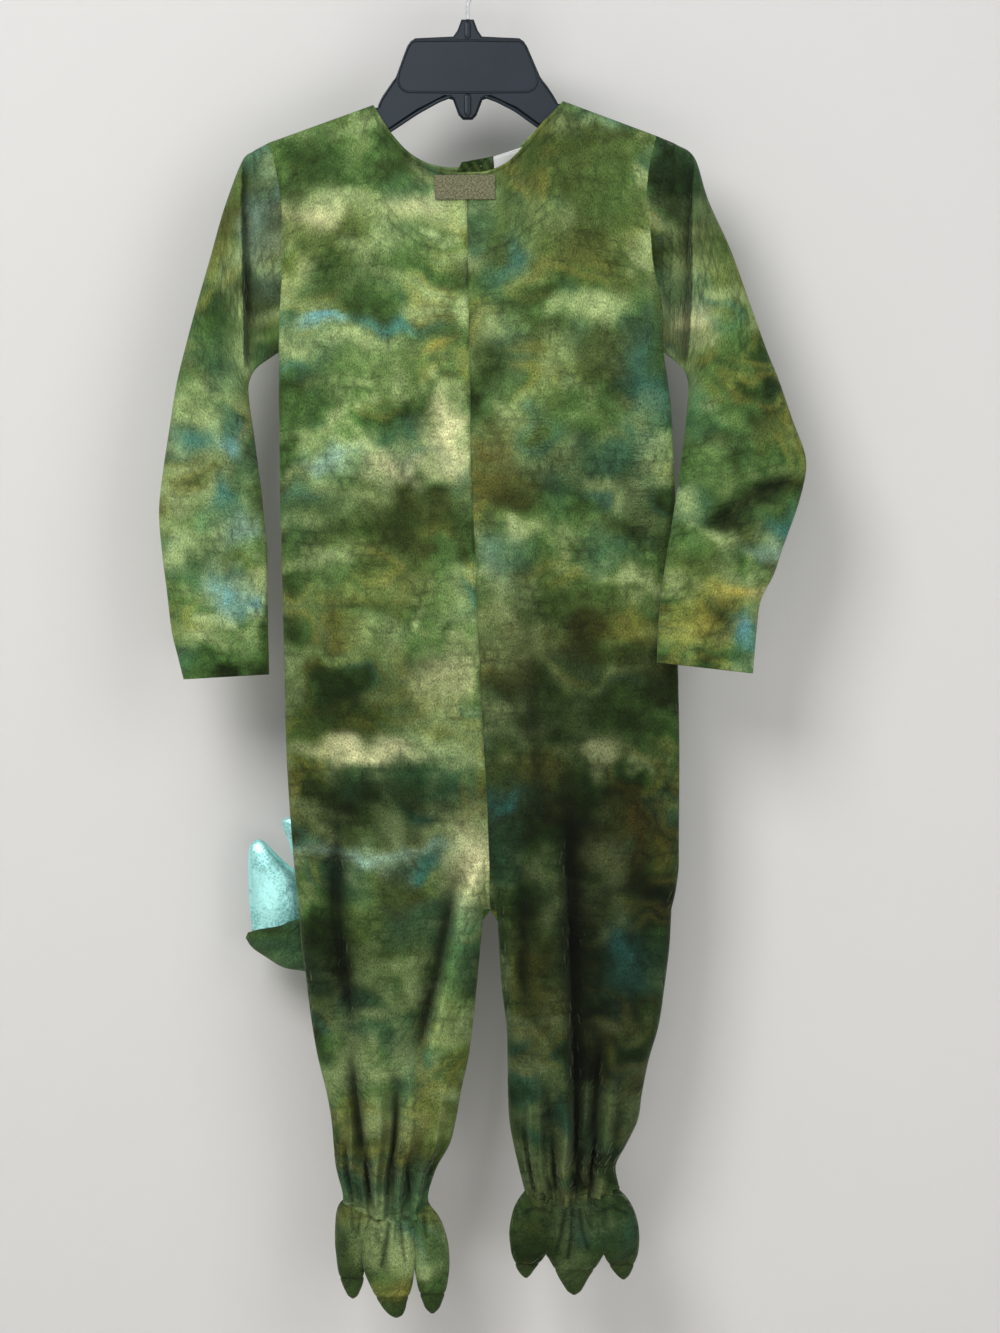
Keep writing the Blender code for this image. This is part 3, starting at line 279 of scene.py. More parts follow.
# smooth curve through stations: a cubic on each span, its slopes the weighted mean of the spans beside it
def curveThrough(at, stations, values):
    stations = np.asarray(stations, dtype=float)
    values = np.asarray(values, dtype=float)
    span = np.diff(stations)
    rise = np.diff(values) / span
    slope = np.empty(len(values))
    slope[1:-1] = (rise[:-1] * span[1:] + rise[1:] * span[:-1]) / (span[:-1] + span[1:])
    slope[0], slope[-1] = rise[0], rise[-1]
    at = np.clip(np.asarray(at, dtype=float), stations[0], stations[-1])
    i = np.clip(np.searchsorted(stations, at, side="right") - 1, 0, len(span) - 1)
    t = (at - stations[i]) / span[i]
    a = (2 * t**3 - 3 * t**2 + 1) * values[i] + (-2 * t**3 + 3 * t**2) * values[i + 1]
    return a + span[i] * ((t**3 - 2 * t**2 + t) * slope[i] + (t**3 - t**2) * slope[i + 1])


def downTable(table, z, index):  # one column of a table whose first column is z, running downward
    rows = np.array(table)
    return curveThrough(-np.asarray(z, dtype=float), -rows[:, 0], rows[:, index])


# cloudy value noise: seeded numbers on a lattice of the given size, blended by the eased step
def cloud(x, z, size, seed):
    lattice = np.random.default_rng(seed).random((64, 64))
    gx, gz = np.asarray(x) / size, np.asarray(z) / size
    ix, iz = np.floor(gx).astype(int), np.floor(gz).astype(int)
    tx, tz = ease(gx - ix), ease(gz - iz)
    low = lattice[ix % 64, iz % 64] * (1 - tx) + lattice[(ix + 1) % 64, iz % 64] * tx
    high = lattice[ix % 64, (iz + 1) % 64] * (1 - tx) + lattice[(ix + 1) % 64, (iz + 1) % 64] * tx
    return low * (1 - tz) + high * tz


# signed distance to a bent line (right of it is positive) and the share along it of the nearest point
def offLine(x, z, points):
    best = np.full(np.shape(x), 1e9)
    signed = np.zeros(np.shape(x))
    along = np.zeros(np.shape(x))
    spans = [math.dist(a, b) for a, b in zip(points, points[1:])]
    done = 0.0
    for (a, b), span in zip(zip(points, points[1:]), spans):
        dx, dz = (b[0] - a[0]) / span, (b[1] - a[1]) / span
        t = np.clip((x - a[0]) * dx + (z - a[1]) * dz, 0.0, span)
        ox, oz = x - a[0] - t * dx, z - a[1] - t * dz
        d = np.hypot(ox, oz)
        side = np.where(ox * -dz + oz * dx >= 0.0, 1.0, -1.0)
        nearer = d < best
        best = np.where(nearer, d, best)
        signed = np.where(nearer, side * d, signed)
        along = np.where(nearer, (done + t) / sum(spans), along)
        done += span
    return signed, along


# Sum of the creases: a bell across each line, sharp at the bottom of a trough and rounder on a ridge, steeper on
# the side with the shorter reach, wide and faint at its upper end. One that runs into the ankle elastic keeps its
# height there, the others fade.
def creaseRelief(x, z, table):
    total = np.zeros(np.shape(x))
    for height, left, right, points in table:
        d, along = offLine(x, z, points)
        reach = np.where(d < 0.0, left, right) * (1.55 - 0.65 * along)
        ends = ease(along / 0.38)
        if points[-1][1] > -1050.0:
            ends = ends * ease((1.0 - along) / 0.32)
        total = total + height * np.exp(-(np.abs(d / reach) ** (1.25 if height < 0.0 else 1.7))) * ends
    return total


def shoulderHeight(x, side):  # the shoulder seam's line above x, carried on over the neck
    a, b = neckLine[side][-1], armholeLine[side][0]
    slope = (b[0] - a[1]) / (b[1] - a[0])
    ends = (neckLine["left"][-1], (0.0, cloth["neckCrown"]), neckLine["right"][-1])
    overNeck = np.interp(x, [p[0] for p in ends], [p[1] for p in ends])
    return np.where(np.abs(x) < abs(a[0]), overNeck, a[1] + (x - a[0]) * slope)


# How far a panel stands from y = 0 at a given x and z. A half round over the hanger's arm, then the cloth
# swings out to the hanging depth; it closes at the side as the root of 1 - s^2.6, and below the hips each
# half closes on itself into a leg as the root of 1 - |2s - 1|^2.4. Creases and gathers are added to that;
# with folds=True only their height comes back.
def clothDepth(x, z, side, face, folds=False):
    full = downTable(hangDepth, z, 1 if face == "front" else 2)
    top0 = trunkLine[0][0]
    centre = downTable(trunkLine, z, 2)
    trunkEdge = np.where(z > top0, downTable(armholeLine[side], z, 1),
                         downTable(trunkLine, z, 1 if side == "left" else 3))
    legTop = trunkLine[-1][0]
    inLeg = z < legTop - 0.01
    inner = np.where(inLeg, downTable(legLine[side], z, 1), np.where(z > top0, 0.0, centre))
    outer = np.where(inLeg, downTable(legLine[side], z, 2), trunkEdge)
    s = np.clip((x - inner) / (outer - inner), 0.0, 1.0)
    s = np.where(inLeg, s, np.clip((s - 0.02) / 0.98, 0.0, 1.0))
    roll = cloth["shoulderRoll"]
    drop = np.maximum(shoulderHeight(x, side) - z, 0.0)
    shoulderRound = np.sqrt(np.maximum(roll**2 - np.maximum(roll - drop, 0.0) ** 2, 0.0))
    top = np.where(drop < roll, shoulderRound, roll + (full - roll) * ease((drop - roll) / cloth["swingOut"]))
    fall = np.clip((cloth["sideTop"] - z) / cloth["sideRun"], 0.0, 1.0)
    edge = np.sqrt(np.clip(1.0 - fall**2.5, 0.0, 1.0))
    across = np.sqrt(np.clip(1.0 - s ** cloth["sidePower"], 0.0, 1.0))
    trunk = top * (edge + (1.0 - edge) * across)
    roundLeg = np.sqrt(np.clip(1.0 - np.abs(2.0 * s - 1.0) ** cloth["legPower"], 0.0, 1.0))
    closing = np.clip((cloth["crotch"] - z) / cloth["legRun"], 0.0, 1.0)
    keep = np.where(inLeg, 0.0, np.sqrt(1.0 - closing**2))
    depth = np.where(z < cloth["crotch"], full * (keep * across + (1.0 - keep) * roundLeg), trunk)
    width = np.abs(outer - inner)
    fade = ease((1.0 - s) * width / 14.0) * ease(s * width / 12.0) * ease((drop - roll) / 20.0)
    relief = creaseRelief(x, z, creases[f"{face}_{side}"])
    # uneven gathers above the elastic, deepening downward
    ankle = legLine[side][-1][0]
    gathered = ease(1.0 - (z - ankle) / cloth["gatherHigh"])
    seed = slackSeed[f"{face}_{side}"]
    phase = cloth["gathers"] * s + 0.55 * np.sin(5.3 * s + seed) + 0.25 * np.sin(14.0 * s + 2.0 * seed)
    relief = relief + cloth["gatherDeep"] * gathered * (1.0 - 2.0 * np.abs(np.sin(math.pi * phase)) ** 0.8)
    if folds:
        return relief * fade
    # the slack cloth never hangs quite flat
    ripple = 2.4 * (cloud(x + 400, z * 0.42 + 900, 34.0, 20 + seed) - 0.5)
    ripple = ripple + 1.0 * (cloud(x + 400, z * 0.7 + 900, 13.0, 30 + seed) - 0.5)
    return depth + fade * (relief + ripple * (1.0 + 0.6 * ease((-650.0 - z) / 200.0)))


# how near each point lies to the border between scattered seeded points: second nearest less nearest distance
def islands(x, z, size, seed):
    jitter = np.random.default_rng(seed).random((64, 64, 2))
    gx, gz = np.asarray(x) / size, np.asarray(z) / size
    ix, iz = np.floor(gx).astype(int), np.floor(gz).astype(int)
    nearest = np.full(gx.shape, 9.0)
    second = np.full(gx.shape, 9.0)
    for i in (-1, 0, 1):
        for k in (-1, 0, 1):
            spot = jitter[(ix + i) % 64, (iz + k) % 64]
            d = np.hypot(gx - ix - i - spot[..., 0], gz - iz - k - spot[..., 1])
            second = np.minimum(second, np.maximum(nearest, d))
            nearest = np.minimum(nearest, d)
    return second - nearest


def laidOver(colour, share, tint):  # colour (1 - share) + tint share
    share = np.asarray(share)[..., None]
    return colour * (1 - share) + share * np.array(linear(tint))


contrast = {"middle": "#65784c", "power": 1.25, "inDarks": 0.35}  # of the print's colours about their mean


# Colours of the print: green base from two clouds, darker islands between pale veins as in scrunched dyeing, then
# each placed blotch (dye, and painted shadow at the right elbow) blended over them as a soft bell, all with outlines
# pushed about by the clouds.
# The whole numbers added to x, z and the seed only give each cloud a place and pattern of its own.
def dyeAndShadowAt(x, z, name, seed):
    wx = x + 22.0 * (cloud(x + 700, z + 900, 46.0, seed) - 0.5)
    wx = wx + 14.0 * (cloud(x + 700, z + 900, 17.0, seed + 1) - 0.5)
    wz = z + 20.0 * (cloud(x + 700, z + 900, 40.0, seed + 2) - 0.5)
    wz = wz + 14.0 * (cloud(x + 700, z + 900, 15.0, seed + 3) - 0.5)
    tone = 0.48 * cloud(wx + 900, 1.3 * wz + 1400, 50.0, seed + 4)
    tone = tone + 0.34 * cloud(wx + 900, 1.2 * wz + 1400, 19.0, seed + 5)
    tone = tone + 0.18 * cloud(x + 900, 1.2 * z + 1400, 8.0, seed + 14)
    ramp = [linear(dyeAndShadowColours[k]) for k in ("deep", "dark", "green", "leaf", "moss", "pale")]
    stops = (0.22, 0.35, 0.46, 0.56, 0.68, 0.80)
    colour = np.stack([np.interp(tone, stops, [c[k] for c in ramp]) for k in range(3)], axis=-1)
    warm = ease((cloud(wx + 300, wz + 600, 60.0, seed + 6) - 0.5) / 0.3)
    colour = laidOver(colour, 0.45 * warm, dyeAndShadowColours["olive"])
    cool = ease((cloud(wx + 1500, wz + 300, 44.0, seed + 15) - 0.52) / 0.26)
    colour = laidOver(colour, 0.34 * cool, dyeAndShadowColours["cool"])
    border = islands(0.8 * wx + 2000, 1.3 * wz + 2600, 50.0, seed + 10)
    broken = ease((cloud(x + 640, z + 1430, 40.0, seed + 11) - 0.38) / 0.38)
    vein = (0.04 + 0.60 * broken) * np.exp(-((border / 0.36) ** 2))
    colour = laidOver(colour, vein * (0.5 + cloud(x + 210, z + 1710, 15.0, seed + 12)), dyeAndShadowColours["pale"])
    rim = 0.36 * broken * np.exp(-(((border - 0.48) / 0.16) ** 2))
    rim = rim * ease((cloud(wx + 130, wz + 210, 50.0, seed + 7) - 0.5) / 0.2)
    colour = laidOver(colour, rim, dyeAndShadowColours["teal"])
    stain = 0.30 * np.exp(-(((border - 0.26) / 0.18) ** 2))
    stain = stain * ease((cloud(wx + 830, wz + 910, 42.0, seed + 13) - 0.56) / 0.2)
    colour = laidOver(colour, stain, dyeAndShadowColours["yellow"])
    for px, pz, halfWide, halfHigh, tint, strength in dyeAndShadowPlaces.get(name, ()):
        d = np.hypot((wx - px) / halfWide, (wz - pz) / halfHigh)
        share = strength * np.exp(-0.9 * d**2) * (0.75 + 0.5 * cloud(x + 50, z + 1400, 9.0, seed + 8))
        colour = laidOver(colour, np.clip(share, 0.0, 1.0), dyeAndShadowColours[tint])
    middle = np.array(linear(contrast["middle"]))
    # more contrast about the mean colour, most in the darks of the trousers
    deeper = (contrast["inDarks"] * ease((-500.0 - z) / 220.0) * ease((1060.0 + z) / 40.0))[..., None]
    colour = middle * (np.clip(colour, 0.004, 1.0) / middle) ** (contrast["power"] + deeper * (colour < middle))
    bath = dyeBath.get(name, ((-100.0, 1.0), (-1200.0, 1.0)))
    colour = colour * np.interp(-z, [-row[0] for row in bath], [row[1] for row in bath])[..., None]
    grain = 0.84 + 0.32 * cloud(x + 500, 0.5 * z + 1500, 5.0, seed + 9)[..., None]
    return np.clip(colour * grain * (0.98, 0.97, 0.87), 0.0, 0.9)


# one shader node with its settings, values and links; a link from a node means its first output
def addNode(tree, kind, inputs=None, links=None, **settings):
    node = tree.nodes.new("ShaderNode" + kind)
    for key, value in settings.items():
        setattr(node, key, value)
    for key, value in (inputs or {}).items():
        node.inputs[key].default_value = value
    for key, source in (links or {}).items():
        tree.links.new(getattr(source, "outputs", [source])[0], node.inputs[key])
    return node


def newMaterial(name):
    material = bpy.data.materials.new(name)
    material.use_nodes = True
    tree = material.node_tree
    tree.nodes.clear()
    return material, tree


# Printed polyester velour with an embossed reptile-scale pattern: the pile catches light at grazing angles
# (pale outline), shows short streaks where it is brushed, and the scales are thin broken grooves with painted shade
# in them.
velour = {
    "cellWide": 0.0118, "cellHigh": 0.0108, "wander": 0.017,  # one scale, and how far the rows stray
    "borderWide": 0.0034, "grooveDepth": 0.0022, "thinning": 3.5,  # a scale's soft border; its power is the groove
    "grooveLight": 0.69, "borderLight": 0.90, "cellLight": 1.02,  # brightness in the groove, on the border, inside: painted shade in the recesses
    "streakWide": 0.0011, "streakLong": 0.0019, "streakDark": 0.44, "streakLight": 1.66,  # short streaks of pile
    "brushedDark": 0.82, "brushedLight": 1.18, "wrinkleHigh": 0.006,  # larger brushed places, crushed places
    "roughness": 0.88, "sheen": 0.36, "sheenTint": "#b4c79c",
}


def velourMaterial():
    material, tree = newMaterial("printed_velour")
    uv = addNode(tree, "UVMap", uv_map="flat")
    dyeAndShade = addNode(tree, "Attribute", attribute_name="dyeAndShade")
    wobble = addNode(tree, "TexNoise", {"Scale": 34.0, "Detail": 3.0}, {"Vector": uv})
    shift = addNode(tree, "VectorMath", {1: (0.5, 0.5, 0.5)}, {0: wobble.outputs["Color"]}, operation="SUBTRACT")
    small = addNode(tree, "VectorMath", {"Scale": velour["wander"]}, {0: shift}, operation="SCALE")
    moved = addNode(tree, "VectorMath", None, {0: uv, 1: small}, operation="ADD")
    cells = addNode(tree, "TexBrick",
                    {"Scale": 1.0, "Mortar Size": velour["borderWide"], "Mortar Smooth": 1.0,
                     "Brick Width": velour["cellWide"], "Row Height": velour["cellHigh"],
                     "Color1": (1, 1, 1, 1), "Color2": (1, 1, 1, 1), "Mortar": (0, 0, 0, 1)},
                    {"Vector": moved}, offset=0.5)
    worn = addNode(tree, "TexNoise", {"Scale": 30.0, "Detail": 3.0}, {"Vector": uv})
    shown = addNode(tree, "MapRange", {"From Min": 0.42, "From Max": 0.70}, {"Value": worn})
    # the cells' soft borders give the padded look, a high power of them the thin groove; both are painted darker as
    # shade
    border = addNode(tree, "Math", None, {0: cells.outputs["Fac"], 1: shown}, operation="MULTIPLY")
    thin = addNode(tree, "Math", {1: velour["thinning"]}, {0: cells.outputs["Fac"]}, operation="POWER")
    groove = addNode(tree, "Math", None, {0: thin, 1: shown}, operation="MULTIPLY")
    streaks = (1.0 / velour["streakWide"], 1.0 / velour["streakLong"], 1.0)
    stretch = addNode(tree, "Mapping", {"Scale": streaks}, {"Vector": moved})
    pile = addNode(tree, "TexNoise", {"Scale": 1.0, "Detail": 3.0, "Roughness": 0.7, "Distortion": 0.35},
                   {"Vector": stretch})
    brushed = addNode(tree, "TexNoise", {"Scale": 95.0, "Detail": 3.0, "Distortion": 1.2},
                      {"Vector": uv})
    pileLight = addNode(tree, "MapRange",
                        {"From Min": 0.32, "From Max": 0.68, "To Min": velour["streakDark"],
                         "To Max": velour["streakLight"]}, {"Value": pile})
    brushedLight = addNode(tree, "MapRange",
                           {"From Min": 0.3, "From Max": 0.7, "To Min": velour["brushedDark"],
                            "To Max": velour["brushedLight"]}, {"Value": brushed})
    both = addNode(tree, "Math", None, {0: pileLight, 1: brushedLight},
                   operation="MULTIPLY")
    # painted shade in the grooves and on the scales' borders
    inGroove = addNode(tree, "MapRange", {"To Min": 1.0, "To Max": velour["grooveLight"]}, {"Value": groove})
    atBorder = addNode(tree, "MapRange", {"To Min": velour["cellLight"], "To Max": velour["borderLight"]},
                       {"Value": border})
    cellLight = addNode(tree, "Math", None, {0: atBorder, 1: inGroove},
                        operation="MULTIPLY")
    value = addNode(tree, "Math", None, {0: both, 1: cellLight}, operation="MULTIPLY")
    shaded = addNode(tree, "HueSaturation", {"Saturation": 1.0},
                     {"Color": dyeAndShade.outputs["Color"], "Value": value})
    pileBump = addNode(tree, "Bump", {"Strength": 0.55, "Distance": 0.0009}, {"Height": pile})
    grooveHeight = addNode(tree, "Math", {0: 1.0}, {1: border}, operation="SUBTRACT")
    grooveBump = addNode(tree, "Bump", {"Strength": 0.8, "Distance": velour["grooveDepth"]},
                         {"Height": grooveHeight, "Normal": pileBump})
    # where the pile has been crushed it lies in short horizontal wrinkles; the colour attribute's alpha is 1 where
    # it is not
    squash = addNode(tree, "Mapping", {"Scale": (110.0, 330.0, 1.0)}, {"Vector": uv})
    wrinkle = addNode(tree, "TexNoise", {"Scale": 1.0, "Detail": 2.0, "Distortion": 1.4},
                      {"Vector": squash})
    crushed = addNode(tree, "Math", {0: 1.0}, {1: dyeAndShade.outputs["Alpha"]}, operation="SUBTRACT")
    crushedBump = addNode(tree, "Bump", {"Distance": velour["wrinkleHigh"]},
                          {"Height": wrinkle, "Strength": crushed,
                           "Normal": grooveBump})
    shader = addNode(tree, "BsdfPrincipled",
                     {"Roughness": velour["roughness"], "IOR": 1.46, "Specular IOR Level": 0.2,
                      "Sheen Weight": velour["sheen"], "Sheen Roughness": 0.35,
                      "Sheen Tint": (*linear(velour["sheenTint"]), 1.0)},
                     {"Base Color": shaded, "Normal": crushedBump})
    addNode(tree, "OutputMaterial", None, {"Surface": shader})
    return material


# Turquoise foil-coated knit: metallic with fine wrinkles, its colour mixed by noise with a near-white painted glint.
foil = {"bright": "#b9fbf7", "dark": "#3f918d", "roughness": 0.34, "metallic": 0.42}


def foilMaterial():
    material, tree = newMaterial("foil_coated_knit")
    place = addNode(tree, "TexCoord")
    crinkle = addNode(tree, "TexNoise", {"Scale": 26.0, "Detail": 4.0, "Distortion": 0.8},
                      {"Vector": place.outputs["Object"]})
    fine = addNode(tree, "TexNoise", {"Scale": 480.0, "Detail": 3.0}, {"Vector": place.outputs["Object"]})
    both = addNode(tree, "Math", {1: 0.62}, {0: crinkle}, operation="MULTIPLY")
    glint = addNode(tree, "Math", {1: 0.38}, {0: fine, 2: both}, operation="MULTIPLY_ADD")
    # painted glint: the near-white colour where the noise is high
    mix = addNode(tree, "ValToRGB", None, {"Fac": glint})
    mix.color_ramp.elements[0].position, mix.color_ramp.elements[1].position = 0.35, 0.56
    mix.color_ramp.elements[0].color = (*linear(foil["dark"]), 1.0)
    mix.color_ramp.elements[1].color = (*linear(foil["bright"]), 1.0)
    crinkleBump = addNode(tree, "Bump", {"Strength": 0.35, "Distance": 0.004}, {"Height": crinkle})
    fineBump = addNode(tree, "Bump", {"Strength": 0.5, "Distance": 0.0006},
                       {"Height": fine, "Normal": crinkleBump})
    shader = addNode(tree, "BsdfPrincipled", {"Roughness": foil["roughness"], "Metallic": foil["metallic"]},
                     {"Base Color": mix, "Normal": fineBump})
    addNode(tree, "OutputMaterial", None, {"Surface": shader})
    return material


# Hook-and-loop tape, the loop half: woven nylon with a matted surface of small loops, speckled tan and grey.
def loopTapeMaterial():
    material, tree = newMaterial("nylon_loop_tape")
    uv = addNode(tree, "UVMap", uv_map="flat")
    loops = addNode(tree, "TexVoronoi", {"Scale": 620.0, "Randomness": 1.0}, {"Vector": uv})
    speck = addNode(tree, "TexNoise", {"Scale": 650.0, "Detail": 3.0}, {"Vector": uv})
    tone = addNode(tree, "ValToRGB", None, {"Fac": speck})
    tone.color_ramp.elements[0].position, tone.color_ramp.elements[1].position = 0.36, 0.66
    tone.color_ramp.elements[0].color = (*linear("#53543e"), 1.0)
    tone.color_ramp.elements[1].color = (*linear("#868567"), 1.0)
    bump = addNode(tree, "Bump", {"Strength": 0.7, "Distance": 0.0007}, {"Height": loops.outputs["Distance"]})
    shader = addNode(tree, "BsdfPrincipled",
                     {"Roughness": 0.85, "IOR": 1.53, "Specular IOR Level": 0.3, "Sheen Weight": 0.25,
                      "Sheen Roughness": 0.4},
                     {"Base Color": tone, "Normal": bump})
    addNode(tree, "OutputMaterial", None, {"Surface": shader})
    return material


# Woven satin ribbon of a blank label: fine threads and a soft shine.
def satinMaterial():
    material, tree = newMaterial("satin_label_ribbon")
    uv = addNode(tree, "UVMap", uv_map="flat")
    weave = addNode(tree, "TexWave", {"Scale": 350.0, "Distortion": 0.4}, {"Vector": uv})
    stain = addNode(tree, "TexNoise", {"Scale": 60.0}, {"Vector": uv})
    tone = addNode(tree, "ValToRGB", None, {"Fac": stain})
    tone.color_ramp.elements[0].color = (*linear("#d6dad6"), 1.0)
    tone.color_ramp.elements[1].color = (*linear("#f3f4f0"), 1.0)
    bump = addNode(tree, "Bump", {"Strength": 0.3, "Distance": 0.0002}, {"Height": weave.outputs["Fac"]})
    shader = addNode(tree, "BsdfPrincipled", {"Roughness": 0.45, "IOR": 1.5, "Sheen Weight": 0.1},
                     {"Base Color": tone, "Normal": bump})
    addNode(tree, "OutputMaterial", None, {"Surface": shader})
    return material


# Injection-moulded black polystyrene: a fine sparked texture, dusty and slightly blue where it faces the light.
def plasticMaterial():
    material, tree = newMaterial("moulded_polystyrene")
    place = addNode(tree, "TexCoord")
    grain = addNode(tree, "TexNoise", {"Scale": 1400.0, "Detail": 3.0}, {"Vector": place.outputs["Object"]})
    dust = addNode(tree, "TexNoise", {"Scale": 22.0, "Detail": 6.0}, {"Vector": place.outputs["Object"]})
    tone = addNode(tree, "ValToRGB", None, {"Fac": dust})
    tone.color_ramp.elements[0].color = (*linear("#0b1016"), 1.0)
    tone.color_ramp.elements[1].color = (*linear("#16202a"), 1.0)
    rough = addNode(tree, "MapRange", {"To Min": 0.36, "To Max": 0.52}, {"Value": dust})
    bump = addNode(tree, "Bump", {"Strength": 0.25, "Distance": 0.0002}, {"Height": grain})
    shader = addNode(tree, "BsdfPrincipled",
                     {"IOR": 1.59, "Specular IOR Level": 0.36, "Specular Tint": (0.82, 0.92, 1.0, 1.0)},
                     {"Base Color": tone, "Roughness": rough, "Normal": bump})
    addNode(tree, "OutputMaterial", None, {"Surface": shader})
    return material


# Bright zinc-plated steel wire, drawn: small dull spots.
def steelMaterial():
    material, tree = newMaterial("zinc_plated_wire")
    place = addNode(tree, "TexCoord")
    spots = addNode(tree, "TexNoise", {"Scale": 300.0, "Detail": 4.0}, {"Vector": place.outputs["Object"]})
    rough = addNode(tree, "MapRange", {"To Min": 0.18, "To Max": 0.42}, {"Value": spots})
    tone = addNode(tree, "ValToRGB", None, {"Fac": spots})
    tone.color_ramp.elements[0].color = (*linear("#9c9da0"), 1.0)
    tone.color_ramp.elements[1].color = (*linear("#c9cacd"), 1.0)
    bump = addNode(tree, "Bump", {"Strength": 0.15, "Distance": 0.0002}, {"Height": spots})
    shader = addNode(tree, "BsdfPrincipled", {"Metallic": 1.0},
                     {"Base Color": tone, "Roughness": rough, "Normal": bump})
    addNode(tree, "OutputMaterial", None, {"Surface": shader})
    return material


velourPrint = velourMaterial()
foilKnit = foilMaterial()
loopTape = loopTapeMaterial()
satin = satinMaterial()
blackPlastic = plasticMaterial()
zincWire = steelMaterial()
print("materials made")


# A grid of rows and columns of points becomes quads; a closed grid joins its last column to its first.
# The flat map is in metres: distance along the row and distance down the rows.
def gridPiece(name, points, material, colours=None, closed=False, flip=False, wall=0.0, caps=False, crushed=None):
    rows, columns = points.shape[:2]
    ring = np.concatenate([points, points[:, :1]], axis=1) if closed else points
    across = np.linalg.norm(np.diff(ring, axis=1), axis=2)
    u = np.concatenate([np.zeros((rows, 1)), np.cumsum(across, axis=1)], axis=1)
    down = np.linalg.norm(np.diff(ring, axis=0), axis=2).mean(axis=1)
    v = np.concatenate([[0.0], -np.cumsum(down)])[:, None] + 0.0 * u
    uv = np.stack([u, v], axis=-1) * mm
    r, c = np.meshgrid(np.arange(rows - 1), np.arange(ring.shape[1] - 1), indexing="ij")
    wrap = (c + 1) % columns
    here, below = r * columns, (r + 1) * columns
    quads = np.stack([here + c, below + c, below + wrap, here + wrap], -1).reshape(-1, 4)
    wide = ring.shape[1]
    maps = np.stack([r * wide + c, (r + 1) * wide + c, (r + 1) * wide + c + 1, r * wide + c + 1], -1).reshape(-1, 4)
    flatPoints = points.reshape(-1, 3)
    if closed:  # outward is away from each row's own middle
        a, b, d = (flatPoints[quads[:, k]] for k in (0, 1, 3))
        middle = points.mean(axis=1)[quads[:, 0] // columns]
        flip = float((np.cross(b - a, d - a) * (a - middle)).sum()) < 0.0
    if flip:
        quads, maps = quads[:, ::-1], maps[:, ::-1]
    faces = quads.tolist()
    loopUv = uv.reshape(-1, 2)[maps.ravel()]
    if caps:  # close both ends round a middle point
        count = len(flatPoints)
        ends = np.stack([points[0].mean(axis=0), points[-1].mean(axis=0)])
        flatPoints = np.concatenate([flatPoints, ends])
        if colours is not None:
            endColours = np.stack([colours[0].mean(axis=0), colours[-1].mean(axis=0)])
            colours = np.concatenate([colours.reshape(-1, 3), endColours])
        i = np.arange(columns)
        k = (i + 1) % columns
        first = np.stack([np.full(columns, count), i, k], -1)
        last = np.stack([np.full(columns, count + 1), (rows - 1) * columns + k, (rows - 1) * columns + i], -1)
        if flip:
            first, last = first[:, ::-1], last[:, ::-1]
        faces = faces + first.tolist() + last.tolist()
        loopUv = np.concatenate([loopUv] + [np.repeat(uv[k, :1], columns * 3, axis=0) for k in (0, -1)])
    mesh = bpy.data.meshes.new(name)
    mesh.from_pydata((flatPoints * mm).tolist(), [], faces)
    mesh.uv_layers.new(name="flat").data.foreach_set("uv", np.ascontiguousarray(loopUv).ravel())
    if colours is not None:
        alpha = np.ones((len(flatPoints), 1)) if crushed is None else 1.0 - crushed.reshape(-1, 1)
        shade = np.concatenate([colours.reshape(-1, 3), alpha], axis=1)
        mesh.color_attributes.new("dyeAndShade", "FLOAT_COLOR", "POINT").data.foreach_set("color", shade.ravel())
    mesh.polygons.foreach_set("use_smooth", np.ones(len(faces), dtype=bool))
    mesh.materials.append(material)
    mesh.update()
    piece = bpy.data.objects.new(name, mesh)
    bpy.context.scene.collection.objects.link(piece)
    if wall:
        solid = piece.modifiers.new("wall", "SOLIDIFY")
        solid.thickness, solid.offset = wall * mm, -1.0
    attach(piece, "root")
    return piece


# spacing that crowds toward both ends: t - a sin(2 pi t) / (2 pi)
def crowded(count, amount):
    t = np.linspace(0.0, 1.0, count)
    return t - amount * np.sin(2.0 * math.pi * t) / (2.0 * math.pi)


armSteps = np.interp(np.linspace(0, 1, cloth["armRows"]), np.linspace(0, 1, 11),
                     (0.0, 0.011, 0.036, 0.097, 0.186, 0.303, 0.437, 0.582, 0.733, 0.877, 1.0))


